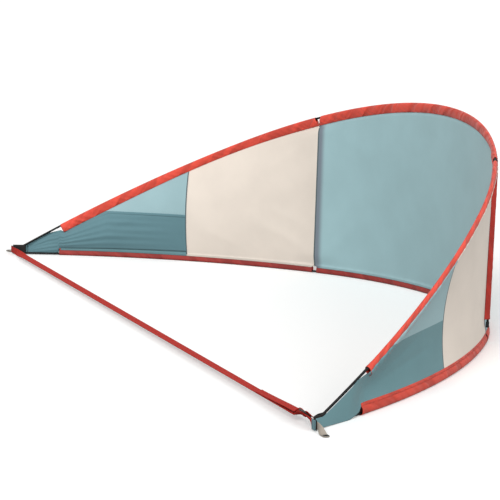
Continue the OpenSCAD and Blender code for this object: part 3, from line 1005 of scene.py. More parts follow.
@dataclass
class Poles(Assembly):
    """The two bent poles, and the straight uprights with their caps."""

    steps: int = 120

    def build(self) -> None:
        """Makes both bows and dresses the uprights."""
        for edge in Edge:
            half = self.shelter.marks(edge)[3]
            path = []
            for i in range(-self.steps, self.steps + 1):
                u = self.shelter.station_at(edge, abs(i) / self.steps * half)
                path.append(self.shelter.pole(edge, u if i >= 0 else -u))
            piece = rod(f"{edge.value}_pole_rod", path, self.shelter.pole_r)
            self.finishes.dress(piece, self.finishes.rod, [f"{edge.value}_pole"])
        for side in Side:
            for part, material in (
                ("upright_pole", self.finishes.rod), ("head_cap", self.finishes.plastic),
                ("foot_cap", self.finishes.plastic), ("peg_eyelet", self.finishes.eyelet),
            ):
                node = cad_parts[f"{side.word}_{part}"]
                node.data.materials.clear()
                node.data.materials.append(material)


@dataclass(frozen=True)
class Tunnel:
    """One finished sleeve on a bent pole: its stations, and its skin by station, angle and height over it."""

    edge: Edge
    u0: float
    u1: float
    skin: Callable[..., Vector]


@dataclass
class Sleeves(Assembly):
    """The sewn tunnels that hold the poles, each a folded strip with puckers and hems; those on the bent
    poles have rows of stitches.
    """

    fullness: float = 8.2
    flat_side: float = 17.5
    ground_folds: float = 0.35
    pucker: float = 3.0
    pucker_slope: float = 24.0
    gather: float = 4.0
    gather_l: float = 90.0
    flare: float = 3.2
    flare_l: float = 34.0
    upright_r: float = 6.8
    upright_half_w: float = 17.0
    upright_off: float = 1.3
    upright_taper: float = 0.35
    taper_l: float = 90.0
    upright_share: float = 0.8
    top_lap: float = 7.0
    ground_lap: float = 14.5
    turning_h: float = 8.0
    turning_off: float = 0.9
    hem_t: float = 0.6
    hem_w: float = 11.0
    hem_edge: float = 2.0
    gather_w: float = 4.2
    gather_drift: tuple[float, float] = (3.0, 31.0)
    gather_in: float = 45.0
    calm_l: tuple[float, float] = (61.0, 23.7)
    calm_seed: float = 2.1
    pucker_w: float = 6.2
    pucker_drift: tuple[float, float] = (2.2, 41.0)
    face_seed: float = 3.0
    end_folds: float = 0.25
    end_l: float = 14.0
    fold_share: float = 1.4
    slant_l: float = 40.0
    row_turn: float = 158.0
    row_share: float = 0.6
    row_off: float = 0.2
    row_steps: int = 120
    turning_under: float = 1.0
    foot_clear: float = 10.0
    head_in: float = 6.0
    upright_folds: float = 0.7
    upright_seed: float = 1.7
    upright_hem_t: float = 0.8
    upright_round: float = 0.8
    searches: int = 3
    length_more: float = 1.05
    girth_more: float = 1.1
    step: float = 5.0
    around: int = 22
    stitch: float = 7.0
    made: list[Tunnel] = field(default_factory=list)

    def gather_at(self, s: float, seed: float) -> float:
        """Height of the close folds where a sleeve is bunched at its end, from 0 to 1."""
        swing, drift_l = self.gather_drift
        return (0.5 + 0.5 * math.sin(s / self.gather_w + swing * math.sin(s / drift_l + seed))) ** 2

    def pucker_at(self, s: float, seed: float) -> float:
        """Height of the puckers at a length along a sleeve, from 0 to 1."""
        swing, drift_l = self.pucker_drift
        wave = math.sin(s / self.calm_l[0] + seed)
        slow = 0.5 + 0.5 * wave * math.sin(s / self.calm_l[1] + self.calm_seed * seed)
        fast = 0.5 + 0.5 * math.sin(s / self.pucker_w + swing * math.sin(s / drift_l + seed))
        return slow * fast * fast

    def section(self, turn: float, h: float, flat: bool, extra: float) -> tuple[float, float]:
        """Point of a sleeve's drop-shaped section.

        Args:
            turn: Angle around the section, from the side away from the wall.
            h: Depth from the pole to the seam, in millimetres.
            flat: Whether the cloth hangs straight from the seam down to the pole.
            extra: Height of puckers and hems, in millimetres.

        Returns:
            Distance out of the wall and distance towards it, in millimetres.
        """
        away, side = (1 + math.cos(turn)) / 2, math.sin(turn)
        depth = mix(h, -self.shelter.sleeve_r, away)
        if flat:
            hang = math.copysign(self.flat_side * away**2 * math.sqrt(1 - away), side)
            return (side * extra + hang, depth)
        return (side * (self.fullness * (0.5 + 0.5 * away) + extra), depth)

    def along_pole(
        self,
        name: str,
        edge: Edge,
        u0: float,
        u1: float,
        slants: tuple[Optional[float], Optional[float]],
        seed: float,
    ) -> None:
        """Makes one sleeve on a bent pole.

        Args:
            name: Node that the sleeve stands for.
            edge: Pole that it holds.
            u0: First station.
            u1: Last station.
            slants: How far the seam runs on past each end at the pole, in millimetres; None at an open mouth.
            seed: Number that sets its puckers.
        """
        shelter = self.shelter
        length = shelter.run(edge, u0, u1)

        def axes(u: float) -> tuple[Vector, Vector, Vector, Vector]:
            """Pole point, way along it, way to the wall and way out of it."""
            c = shelter.column(u)
            way = c.top_along if edge is Edge.TOP else c.along
            up = (c.up - c.up.dot(way) * way).normalized()
            into = -up if edge is Edge.TOP else up
            out = up.cross(way).normalized()
            return (c.top if edge is Edge.TOP else c.ground), way, into, out

        def skin(u: float, turn: float, over: float = 0.0) -> Vector:
            """Point of the sleeve, or of cloth that lies over it, at a station and an angle around."""
            point, way, into, out = axes(u)
            h = shelter.sleeve_h(edge, u)
            s = shelter.run(edge, u0, u)
            ends = (s, length - s)
            near_end = min(ends)
            mouth = min((e for e, slant in zip(ends, slants) if slant is None), default=length)
            hem = self.hem_t * ease((self.hem_w - near_end) / self.hem_edge)
            hem += self.flare * ease((self.flare_l - mouth) / self.flare_l)
            face = seed + self.face_seed * (math.sin(turn) > 0)
            slope = self.pucker_slope * math.cos(turn)
            calm = mix(self.end_folds, 1.0, ease(near_end / self.end_l))
            bunched = hump(near_end - self.gather_in, self.gather_l)
            folds = self.pucker * self.pucker_at(s + slope, face) * calm
            folds += self.gather * self.gather_at(s + slope, face) * bunched
            folds *= 1 if edge is Edge.TOP else self.ground_folds
            flat = edge is Edge.GROUND and math.sin(turn) < 0
            extra = hem + over + folds * (1 - math.cos(turn)) / self.fold_share
            side, depth = self.section(turn, h, flat, extra)
            lean = 0.0
            for sign, slant, end in zip((-1, 1), slants, ends):
                if slant and end < self.slant_l:
                    lean = sign * slant * (1 - end / self.slant_l)
            return point + (out * side + into * depth + way * (lean * depth / h)) * MM

        def place(a: float, b: float) -> Vector:
            """Point for fractions along and around."""
            return skin(mix(u0, u1, a), 2 * math.pi * b)

        girth = shelter.girth(edge)
        cuts, size = (int(length / self.step), self.around), (length * MM, girth * MM)
        # The ground sleeves take their red painted darker as shade
        material = self.finishes.red if edge is Edge.TOP else self.finishes.shaded_ground_red
        piece = self.sewn(name + "_cloth", cuts, place, size, material, [name], tube=True)
        joined = [self.rows(name, edge, axes, u0, u1)]
        if edge is Edge.GROUND:
            joined.append(self.turning(name, u0, u1, length))
        self.made.append(Tunnel(edge, min(u0, u1), max(u0, u1), skin))

    def lap_turn(self, edge: Edge, u: float) -> float:
        """Angle around a sleeve's section at which a panel that lies over it ends."""
        h, lap = self.shelter.sleeve_h(edge, u), self.top_lap if edge is Edge.TOP else self.ground_lap
        return math.acos(1 - 2 * (lap + self.shelter.sleeve_r) / (h + self.shelter.sleeve_r))

    def rows(self, name: str, edge: Edge, axes: Callable, u0: float, u1: float) -> Object:
        """Makes the stitches along a sleeve's seam, on both faces."""
        bm = bmesh.new()
        for face in (-1, 1):
            line = []
            for i in range(self.row_steps + 1):
                u = mix(u0, u1, i / self.row_steps)
                point, _, into, out = axes(u)
                h = self.shelter.sleeve_h(edge, u)
                flat = edge is Edge.GROUND and face < 0
                extra = 0.0 if flat else self.pucker * self.row_share
                side, depth = self.section(face * math.radians(self.row_turn), h, flat, extra)
                line.append((point + (into * depth + out * (side + face * self.row_off)) * MM, out * face))
            sewn_row(bm, line, self.stitch)
        return self.finishes.dress(new_object(name + "_stitches", bm, smooth=False), self.finishes.thread)

    def turning(self, name: str, u0: float, u1: float, length: float) -> Object:
        """Makes the edge of a ground sleeve that is sewn up over the wall's outer face."""
        shelter = self.shelter

        def place(a: float, b: float) -> Vector:
            """Point for fractions along and up."""
            u = mix(u0, u1, a)
            c = shelter.column(u)
            rise = mix(-self.turning_under, self.turning_h, b) * MM / c.tall
            return shelter.cloth(u, rise, self.turning_off)

        facing = shelter.column((u0 + u1) / 2).out
        size = (length * MM, self.turning_h * MM)
        cuts = (int(length / self.step / 2), 3)
        return self.sewn(name + "_turning", cuts, place, size, self.finishes.shaded_ground_red, facing=facing)

    def upright(self, side: Side) -> None:
        """Makes the sleeve of one upright, sewn to the wall's outer face."""
        shelter, u = self.shelter, float(side.value)
        c = shelter.column(u)
        tall = (c.top - c.ground).length / MM
        low = shelter.foot_rise + shelter.cap_l + self.foot_clear
        high = tall - shelter.head_drop + self.head_in
        h = shelter.upright_out + shelter.upright_in
        wall_l = tall - shelter.ground_sleeve_h - shelter.top_sleeve_h

        def place(a: float, b: float) -> Vector:
            """Point for fractions up and around."""
            s, turn = a * (high - low), 2 * math.pi * b
            near_end = min(s, high - low - s)
            face = self.upright_seed + self.face_seed * (math.sin(turn) > 0)
            folds = self.upright_folds * self.pucker_at(s, face) * ease(near_end / self.end_l)
            v = (low + s - shelter.ground_sleeve_h) / wall_l
            extra = self.upright_hem_t * ease((self.hem_w - near_end) / self.hem_edge) + folds
            around = 1 - abs(turn / math.pi - 1)
            out = min(1.0, around / self.upright_share)
            back = max(0.0, (around - self.upright_share) / (1 - self.upright_share))
            narrowing = self.upright_taper * ease((self.taper_l - high + low + s) / self.taper_l)
            half_w = self.upright_half_w * (1 - narrowing)
            w = math.copysign(half_w * out**self.upright_round * (1 - back), math.sin(turn))
            wide = shelter.side_low_w if w * u > 0 else shelter.back_low_w / 2
            along = w
            for _ in range(self.searches):
                there = (shelter.cloth(u + along / wide, v) - c.ground) / MM
                along += w - there.dot(c.along)
                v = min(1.0, v + (low + s - there.dot(c.up)) / wall_l)
            wall = there.dot(c.out)
            stands = mix(shelter.upright_out + self.upright_r + extra, wall + self.upright_off, ease(out))
            return c.ground + (c.up * (low + s) + c.out * stands + c.along * w) * MM

        girth = 4 * self.upright_half_w + h + self.upright_r
        node = f"{side.word}_upright_sleeve"
        cuts, size = (int((high - low) / self.step), self.around), ((high - low) * MM, girth * MM)
        # The upright sleeve's red is painted darker as shade
        piece = self.sewn(node + "_cloth", cuts, place, size, self.finishes.shaded_upright_red, [node], tube=True)

    def build(self) -> None:
        """Makes all eight sleeves."""
        shelter = self.shelter
        for edge in Edge:
            marks, top = shelter.marks(edge), edge is Edge.TOP
            gap = shelter.top_gap if top else shelter.ground_gap
            slant = gap / 2 - 1 if top else 0.0
            inner = shelter.station_at(edge, marks[1] - gap / 2)
            outer = shelter.station_at(edge, marks[1] + gap / 2)
            self.along_pole(f"middle_{edge.value}_sleeve", edge, -inner, inner, (slant, slant), 0.4)
            for side in Side:
                s = side.value
                mouth = shelter.station_at(edge, marks[3] - shelter.bare(edge, s))
                ends, slants = (outer, mouth), (slant, None)
                if s < 0:
                    ends, slants = (-mouth, -outer), (None, slant)
                self.along_pole(f"{side.word}_{edge.value}_sleeve", edge, *ends, slants, 1.1 * s + 0.6)
        for side in Side:
            self.upright(side)


@dataclass
class Wall(Assembly):
    """The five cloth panels, with their folds, and the seams between them."""

    sleeves: Sleeves
    tuck: float = 3.0
    lap_share: float = 0.1
    laps_l: float = 36.0
    lap_off: float = 1.0
    lap_rise: float = 4.0
    short_l: float = 120.0
    fold_reach: float = 0.2
    fold_lead: float = 0.2
    fold_ramps: tuple[float, float] = (0.3, 0.5)
    edge_calm: float = 0.05
    seam_t: float = 0.7
    seam_steps: int = 80
    more: float = 1.03
    samples: int = 8
    column_l: float = 7.0
    least_columns: int = 40
    rows: int = 60
    folds: tuple[Fold, ...] = (
        Fold((-0.95, 0.06), (-0.62, 0.42), 1.6, 26),
        Fold((-0.98, 0.16), (-0.74, 0.5), 1.0, 20),
        Fold((-0.6, 0.08), (-0.36, 0.3), 0.9, 24),
        Fold((-1.06, 0.1), (-1.5, 0.34), 1.5, 22),
        Fold((-1.04, 0.26), (-1.42, 0.46), 1.0, 20),
        Fold((-1.6, 0.12), (-1.9, 0.3), 0.9, 18),
        Fold((-1.08, 0.9), (-1.5, 0.72), 1.0, 20),
        Fold((-0.9, 0.94), (-0.55, 0.7), 1.0, 24),
        Fold((0.95, 0.06), (0.6, 0.4), 1.4, 26),
        Fold((0.9, 0.93), (0.5, 0.7), 1.0, 24),
        Fold((1.06, 0.1), (1.5, 0.32), 1.4, 22),
        Fold((1.06, 0.9), (1.5, 0.7), 1.0, 20),
        Fold((2.1, 0.3), (2.75, 0.45), 1.6, 13),
        Fold((2.2, 0.6), (2.8, 0.55), 1.3, 12),
        Fold((-2.1, 0.3), (-2.75, 0.45), 1.6, 13),
        Fold((-2.2, 0.6), (-2.8, 0.55), 1.3, 12),
    )

    def crease(self, u: float, v: float) -> float:
        """Depth of all folds together at a place, in millimetres inwards."""
        total = 0.0
        tall = self.shelter.column(u).tall / MM
        for fold in self.folds:
            (u0, v0), (u1, v1) = fold.start, fold.end
            if not min(u0, u1) - self.fold_reach < u < max(u0, u1) + self.fold_reach:
                continue
            wide = self.shelter.side_low_w if abs(u0 + u1) > 2 else self.shelter.back_low_w / 2
            x, y, dx, dy = (u - u0) * wide, (v - v0) * tall, (u1 - u0) * wide, (v1 - v0) * tall
            run = math.hypot(dx, dy)
            along, aside = (x * dx + y * dy) / run**2, (x * dy - y * dx) / run
            total += (
                fold.depth
                * hump(aside, fold.width)
                * ease(along / self.fold_ramps[0] + self.fold_lead)
                * ease((1 - along) / self.fold_ramps[1] + self.fold_lead)
            )
        return total

    def point(self, u: float, v: float, off: float = 0.0, beyond: float = 0.0) -> Vector:
        """Place on the wall's cloth with its folds, v running a little way into both sleeves."""
        inner = min(1.0, max(0.0, v))
        depth = self.crease(u, inner) * ease(inner / self.edge_calm) * ease((1 - inner) / self.edge_calm)
        return self.shelter.cloth(u, v, off - depth, beyond)

    def lap(self, edge: Edge, u: float, k: float) -> Optional[Vector]:
        """Place on a panel where it lies over a sleeve: outside at the top, inside at the ground.

        Args:
            edge: Pole that the sleeve holds.
            u: Station along the wall.
            k: Fraction from the seam to the cloth's edge.

        Returns:
            The point in metres, or None where the pole is bare.
        """
        sign = 1 if edge is Edge.TOP else -1
        for tunnel in self.sleeves.made:
            if tunnel.edge is edge and tunnel.u0 <= u <= tunnel.u1:
                turn = sign * mix(math.pi, self.sleeves.lap_turn(edge, u), k)
                return tunnel.skin(u, turn, self.lap_off * min(1.0, self.lap_rise * k))
        return None

    def panel(self, name: str, u0: float, u1: float, material: Material) -> None:
        """Makes one panel between two stations.

        Args:
            name: Node that the panel stands for.
            u0: First station.
            u1: Last station; a wing panel runs on past its tip as a square flap.
            material: Its cloth.
        """
        shelter = self.shelter
        flap = shelter.flap_l if abs(u1) == 3 or abs(u0) == 3 else 0.0
        length = shelter.run(Edge.GROUND, u0, u1)
        share = length / (length + flap)
        tall = max(shelter.column(mix(u0, u1, k / self.samples)).tall for k in range(self.samples + 1))

        def place(a: float, b: float) -> Vector:
            """Point for fractions along and up."""
            k, beyond = (a / share, 0.0) if a <= share else (1.0, (a - share) / (1 - share) * flap)
            u = mix(u0, u1, k)
            c = shelter.column(u)
            here = c.tall / MM
            past = self.tuck / here * min(1.0, here / self.short_l)
            v = (b - self.lap_share) / (1 - 2 * self.lap_share)
            edge, over = (Edge.GROUND, -v) if v < 0 else (Edge.TOP, v - 1)
            lapped = max(0.0, over * (1 - 2 * self.lap_share) / self.lap_share)
            laid = self.lap(edge, u, lapped) if lapped > 0 and not beyond else None
            level = min(1.0, max(0.0, v)) + math.copysign(past * lapped, v - 0.5)
            return laid or self.point(u, level, 0.0, beyond)

        columns = max(self.least_columns, int((length + flap) / self.column_l))
        facing, size = shelter.column((u0 + u1) / 2).out, ((length + flap) * MM, tall)
        piece = self.sewn(name + "_cloth", (columns, self.rows), place, size, material, [name], facing)
        wide = max(length, shelter.run(Edge.TOP, u0, u1)) + flap
        sewn = length - (shelter.bare(Edge.TOP, u1) if flap else 0.0)
        extra = self.laps_l * sewn * MM**2 + flap * MM * shelter.column(u1).tall
        area = (shelter.cut_area(u0, u1, lambda u: 0.0, lambda u: 1.0) + extra) * self.more**2

    def seam(self, name: str, u: float, width: float = 4.0) -> None:
        """Makes the felled seam between two panels at a station."""
        wide = self.shelter.side_low_w

        def place(a: float, b: float) -> Vector:
            """Point for fractions up and across."""
            return self.point(u + (b - 0.5) * width / wide, a)

        size = (self.shelter.column(u).tall, width * MM)
        cuts = (self.seam_steps, 2)
        self.sewn(name, cuts, place, size, self.finishes.seam, thickness=CLOTH_T + self.seam_t)

    def build(self) -> None:
        """Makes all panels and seams."""
        f = self.finishes
        self.panel("back_panel", -1, 1, f.blue)
        for side in Side:
            s = side.value
            self.panel(f"{side.word}_side_panel", s, 2 * s, f.cream)
            self.panel(f"{side.word}_wing_panel", 2 * s, 3 * s, f.wing)
            self.seam(f"{side.word}_wing_seam", 2 * s)
            self.seam(f"{side.word}_back_seam", s, 5.0)


@dataclass
class SandPockets(Assembly):
    """The flat pockets on the wings' inner faces that take sand as ballast, each with a turned hem."""

    wall: Wall
    off: float = 2.2
    low: float = 0.03
    short: float = 6.0
    fan: tuple[tuple[float, float], ...] = ((0.16, 3.0), (0.34, 4.2), (0.52, 2.8), (0.72, 3.8), (0.88, 2.2))
    fan_spread: tuple[float, float] = (0.35, 0.9)
    fan_w: tuple[float, float] = (0.035, 0.03)
    fan_ramps: tuple[float, float] = (0.6, 0.1)
    edge_share: float = 0.1
    hem_w: float = 10.0
    hem_most: float = 0.3
    hem_over: float = 0.002
    hem_off: float = 0.5
    hem_folds: float = 0.4
    facing_at: float = 2.4
    more: float = 1.04
    cuts: tuple[int, int] = (90, 28)

    def tension(self, k: float, v: float) -> float:
        """Height of the folds that run from the tip over the pocket, in millimetres."""
        total = 0.0
        spread, width = (first + more * (1 - k) for first, more in (self.fan_spread, self.fan_w))
        for slope, depth in self.fan:
            fold = depth * hump((v - slope) * spread, width)
            total += fold * ease(k / self.fan_ramps[0]) * ease((1 - k) / self.fan_ramps[1])
        return total

    def pocket(self, side: Side) -> None:
        """Makes one pocket and its hem."""
        shelter, s = self.shelter, side.value
        reach = shelter.ground.half_l - shelter.corner_in - self.short
        end = shelter.station_at(Edge.GROUND, reach)
        length = reach - shelter.length_at(Edge.GROUND, 2)

        def place(a: float, b: float) -> Vector:
            """Point for fractions from the seam to the tip and up."""
            u = mix(2.0, end, a)
            v = mix(self.low, shelter.pocket_top(u), b)
            level = mix(self.hem_folds, 1.0, ease((1 - b) / self.edge_share))
            folds = self.tension(a, b) * ease(b / self.edge_share) * level
            return self.wall.point(s * u, v, -self.off - folds)

        def hem(a: float, b: float) -> Vector:
            """Point of the turned hem along the pocket's upper edge."""
            u = mix(2.0, end, a)
            c = shelter.column(u)
            top = shelter.pocket_top(u)
            drop = min(self.hem_w * MM / c.tall, self.hem_most * top)
            v = mix(top - drop, top + self.hem_over, b)
            share = (v - self.low) / (top - self.low)
            folds = self.tension(a, min(1.0, share)) * self.hem_folds
            return self.wall.point(s * u, v, -self.off - self.hem_off - folds)

        facing = -shelter.column(self.facing_at * s).out
        node, cloth = f"{side.word}_sand_pocket", self.finishes.pocket
        size, hem_size = ((length * MM, high * MM) for high in (shelter.pocket_h, self.hem_w))
        piece = self.sewn(node + "_cloth", self.cuts, place, size, cloth, [node], facing)
        edge = self.sewn(f"{side.word}_pocket_hem", (self.cuts[0], 3), hem, hem_size, cloth, facing=facing)
        area = shelter.cut_area(2.0 * s, end * s, lambda u: self.low, shelter.pocket_top) * self.more

    def build(self) -> None:
        """Makes both pockets."""
        for side in Side:
            self.pocket(side)


@dataclass
class Tips(Assembly):
    """The black corner pockets at both tips, with their ears and the peg tabs."""

    base: float = 1.0
    ear_l: float = 22.0
    tab_l: float = 70.0
    tab_w: float = 20.0
    eyelet_r: float = 4.5
    eyelet_rim: float = 1.7
    flange_t: float = 0.8
    top_over: float = 4.0
    ear_rise: float = 2.0
    ear_more: float = 4.0
    ear_in: float = 3.0
    mouth_x: float = 8.0
    bend_x: float = -2.0
    fold_in: float = 2.0
    rim: float = 0.6
    pocket_share: float = 0.9
    web_share: float = 0.95
    row_x: tuple[float, ...] = (16.0, 8.0, 0.0)
    row_z: tuple[float, ...] = (7.0, 18.0, 29.0)
    row_in: float = 4.0
    row_off: float = 1.0
    row_layers: tuple[float, float] = (1.55, 2.55)
    pitch: float = 4.0
    ear_pitch: float = 3.5
    steps: int = 8
    turn_steps: int = 24
    round_steps: int = 48

    def __post_init__(self) -> None:
        """Works out the heights and ends of the ears and tabs."""
        shelter = self.shelter
        self.top = shelter.tip_rise + shelter.pole_r + self.top_over
        self.ear_h = shelter.webbing_w + self.ear_more
        self.ear_z = self.base + self.ear_rise + self.ear_h / 2
        self.ear_x = shelter.corner_end_x + self.ear_l
        self.eyelet_x = self.ear_x + self.tab_l - shelter.webbing_w / 2

    def at(self, side: Side, x: float, y: float, z: float) -> Vector:
        """Point in metres from millimetres on the right tip's side, y from the line between the tips."""
        return Vector((side.value * x, y - self.shelter.origin_y, z)) * MM

    def corner(self, side: Side) -> None:
        """Makes one corner pocket: webbing folded around the poles' ends and sewn flat beyond them."""
        shelter = self.shelter
        half, t = shelter.corner_half + shelter.webbing_t / 2, shelter.webbing_t
        ca, sa = math.cos(shelter.corner_a), math.sin(shelter.corner_a)
        fold_x, rim_x = self.fold_in - shelter.corner_out, self.rim - shelter.corner_out
        start, fold = Vector((self.bend_x, half)), Vector((fold_x, -half + t))
        back, end = Vector((fold_x, -half)), Vector((shelter.corner_in, -half))
        plan = [(shelter.corner_in, half), (self.mouth_x, half), (self.bend_x, half)]
        plan += [mix(start, fold, ease(k / self.steps)).to_tuple() for k in range(1, self.steps + 1)]
        plan += [(rim_x, -half + self.rim * t), (rim_x, -half)]
        plan += [mix(back, end, k / self.steps).to_tuple() for k in range(self.steps + 1)]
        middle = (self.base + self.top) / 2
        path = [
            (
                self.at(side, shelter.ground.half_span - x * ca - y * sa, x * sa - y * ca, middle),
                Vector((0, 0, 1)),
            )
            for x, y in plan
        ]
        pocket = ribbon(
            f"{side.word}_corner_webbing", path, self.top - self.base, t * self.pocket_share, across=4
        )
        self.finishes.dress(pocket, self.finishes.black_web, [f"{side.word}_corner_pocket"])
        first = shelter.corner_end_x - self.ear_in
        ear_path = [
            (self.at(side, mix(first, self.ear_x, k / 6), shelter.ear_y, self.ear_z), Vector((0, 0, 1)))
            for k in range(7)
        ]
        ear = ribbon(f"{side.word}_corner_ear", ear_path, self.ear_h, t * self.web_share)
        self.finishes.dress(ear, self.finishes.black_web)
        if side is Side.RIGHT:
            over = [(p - Vector((0, 2 * t * MM, 0)), d) for p, d in ear_path]
            cover = ribbon(f"{side.word}_ear_cover", over, self.ear_h, t * self.web_share)
            self.finishes.dress(cover, self.finishes.pocket)
        bm = bmesh.new()
        y = half + self.row_off
        for z in (self.base + self.row_in, self.top - self.row_in):
            line = [
                (
                    self.at(side, shelter.ground.half_span - x * ca - y * sa, x * sa - y * ca, z),
                    Vector((-side.value * sa, -ca, 0)),
                )
                for x in self.row_x
            ]
            sewn_row(bm, line, self.pitch)
        for x in (shelter.corner_end_x + self.ear_in, self.ear_x - self.ear_in):
            face = shelter.ear_y - t * self.row_layers[int(side is Side.RIGHT)]
            line = [(self.at(side, x, face, z), Vector((0, -1, 0))) for z in self.row_z]
            sewn_row(bm, line, self.ear_pitch)
        self.finishes.dress(
            new_object(f"{side.word}_corner_stitches", bm, smooth=False), self.finishes.dark_thread
        )

    def tab(self, side: Side) -> None:
        """Makes one peg tab: webbing that turns flat and ends round, with a hole for its eyelet."""
        shelter, s = self.shelter, side.value
        w, t = self.tab_w, shelter.webbing_t
        y, z = shelter.ear_y + t, self.flange_t + t / 2
        root, flat_x = shelter.corner_end_x + shelter.tip_shift, self.eyelet_x - w / 2
        path = [
            (self.at(side, mix(root, self.ear_x, k / 3), y, self.ear_z), Vector((0, 0, 1)))
            for k in range(3)
        ]
        for i in range(self.turn_steps + 1):
            k = ease(i / self.turn_steps)
            turn = math.radians(90 * (1 - k))
            point = self.at(side, mix(self.ear_x, flat_x, i / self.turn_steps), y, mix(self.ear_z, z, k))
            path.append((point, Vector((0, math.cos(turn), math.sin(turn)))))
        piece = ribbon(f"{side.word}_peg_tab_webbing", path, w, t * self.web_share)
        self.finishes.dress(piece, self.finishes.grey_web, [f"{side.word}_peg_tab"])
        bm = bmesh.new()
        layer = bm.loops.layers.uv.new("UVMap")
        rims = [bmesh.ops.create_circle(bm, segments=self.round_steps, radius=1)["verts"] for _ in range(2)]
        for v in rims[0]:
            v.co *= self.eyelet_r + self.eyelet_rim
        for v in rims[1]:
            a = math.atan2(v.co.y, v.co.x)
            far = w / 2 if math.cos(a) >= 0 else w / 2 / max(abs(math.sin(a)), abs(math.cos(a)))
            v.co = Vector((math.cos(a), math.sin(a), 0)) * far
        bmesh.ops.bridge_loops(bm, edges=list(bm.edges))
        for face in bm.faces:
            for loop in face.loops:
                loop[layer].uv = (loop.vert.co.x * MM, loop.vert.co.y * MM)
        centre = self.at(side, self.eyelet_x, y, z)
        for v in bm.verts:
            v.co = centre + Vector((s * v.co.x, v.co.y, 0)) * MM
        bmesh.ops.recalc_face_normals(bm, faces=bm.faces)
        end = new_object(f"{side.word}_peg_tab_end", bm)
        thicken(end, t * self.web_share)
        self.finishes.dress(end, self.finishes.grey_web)

    def build(self) -> None:
        """Makes both tips."""
        for side in Side:
            self.corner(side)
            self.tab(side)


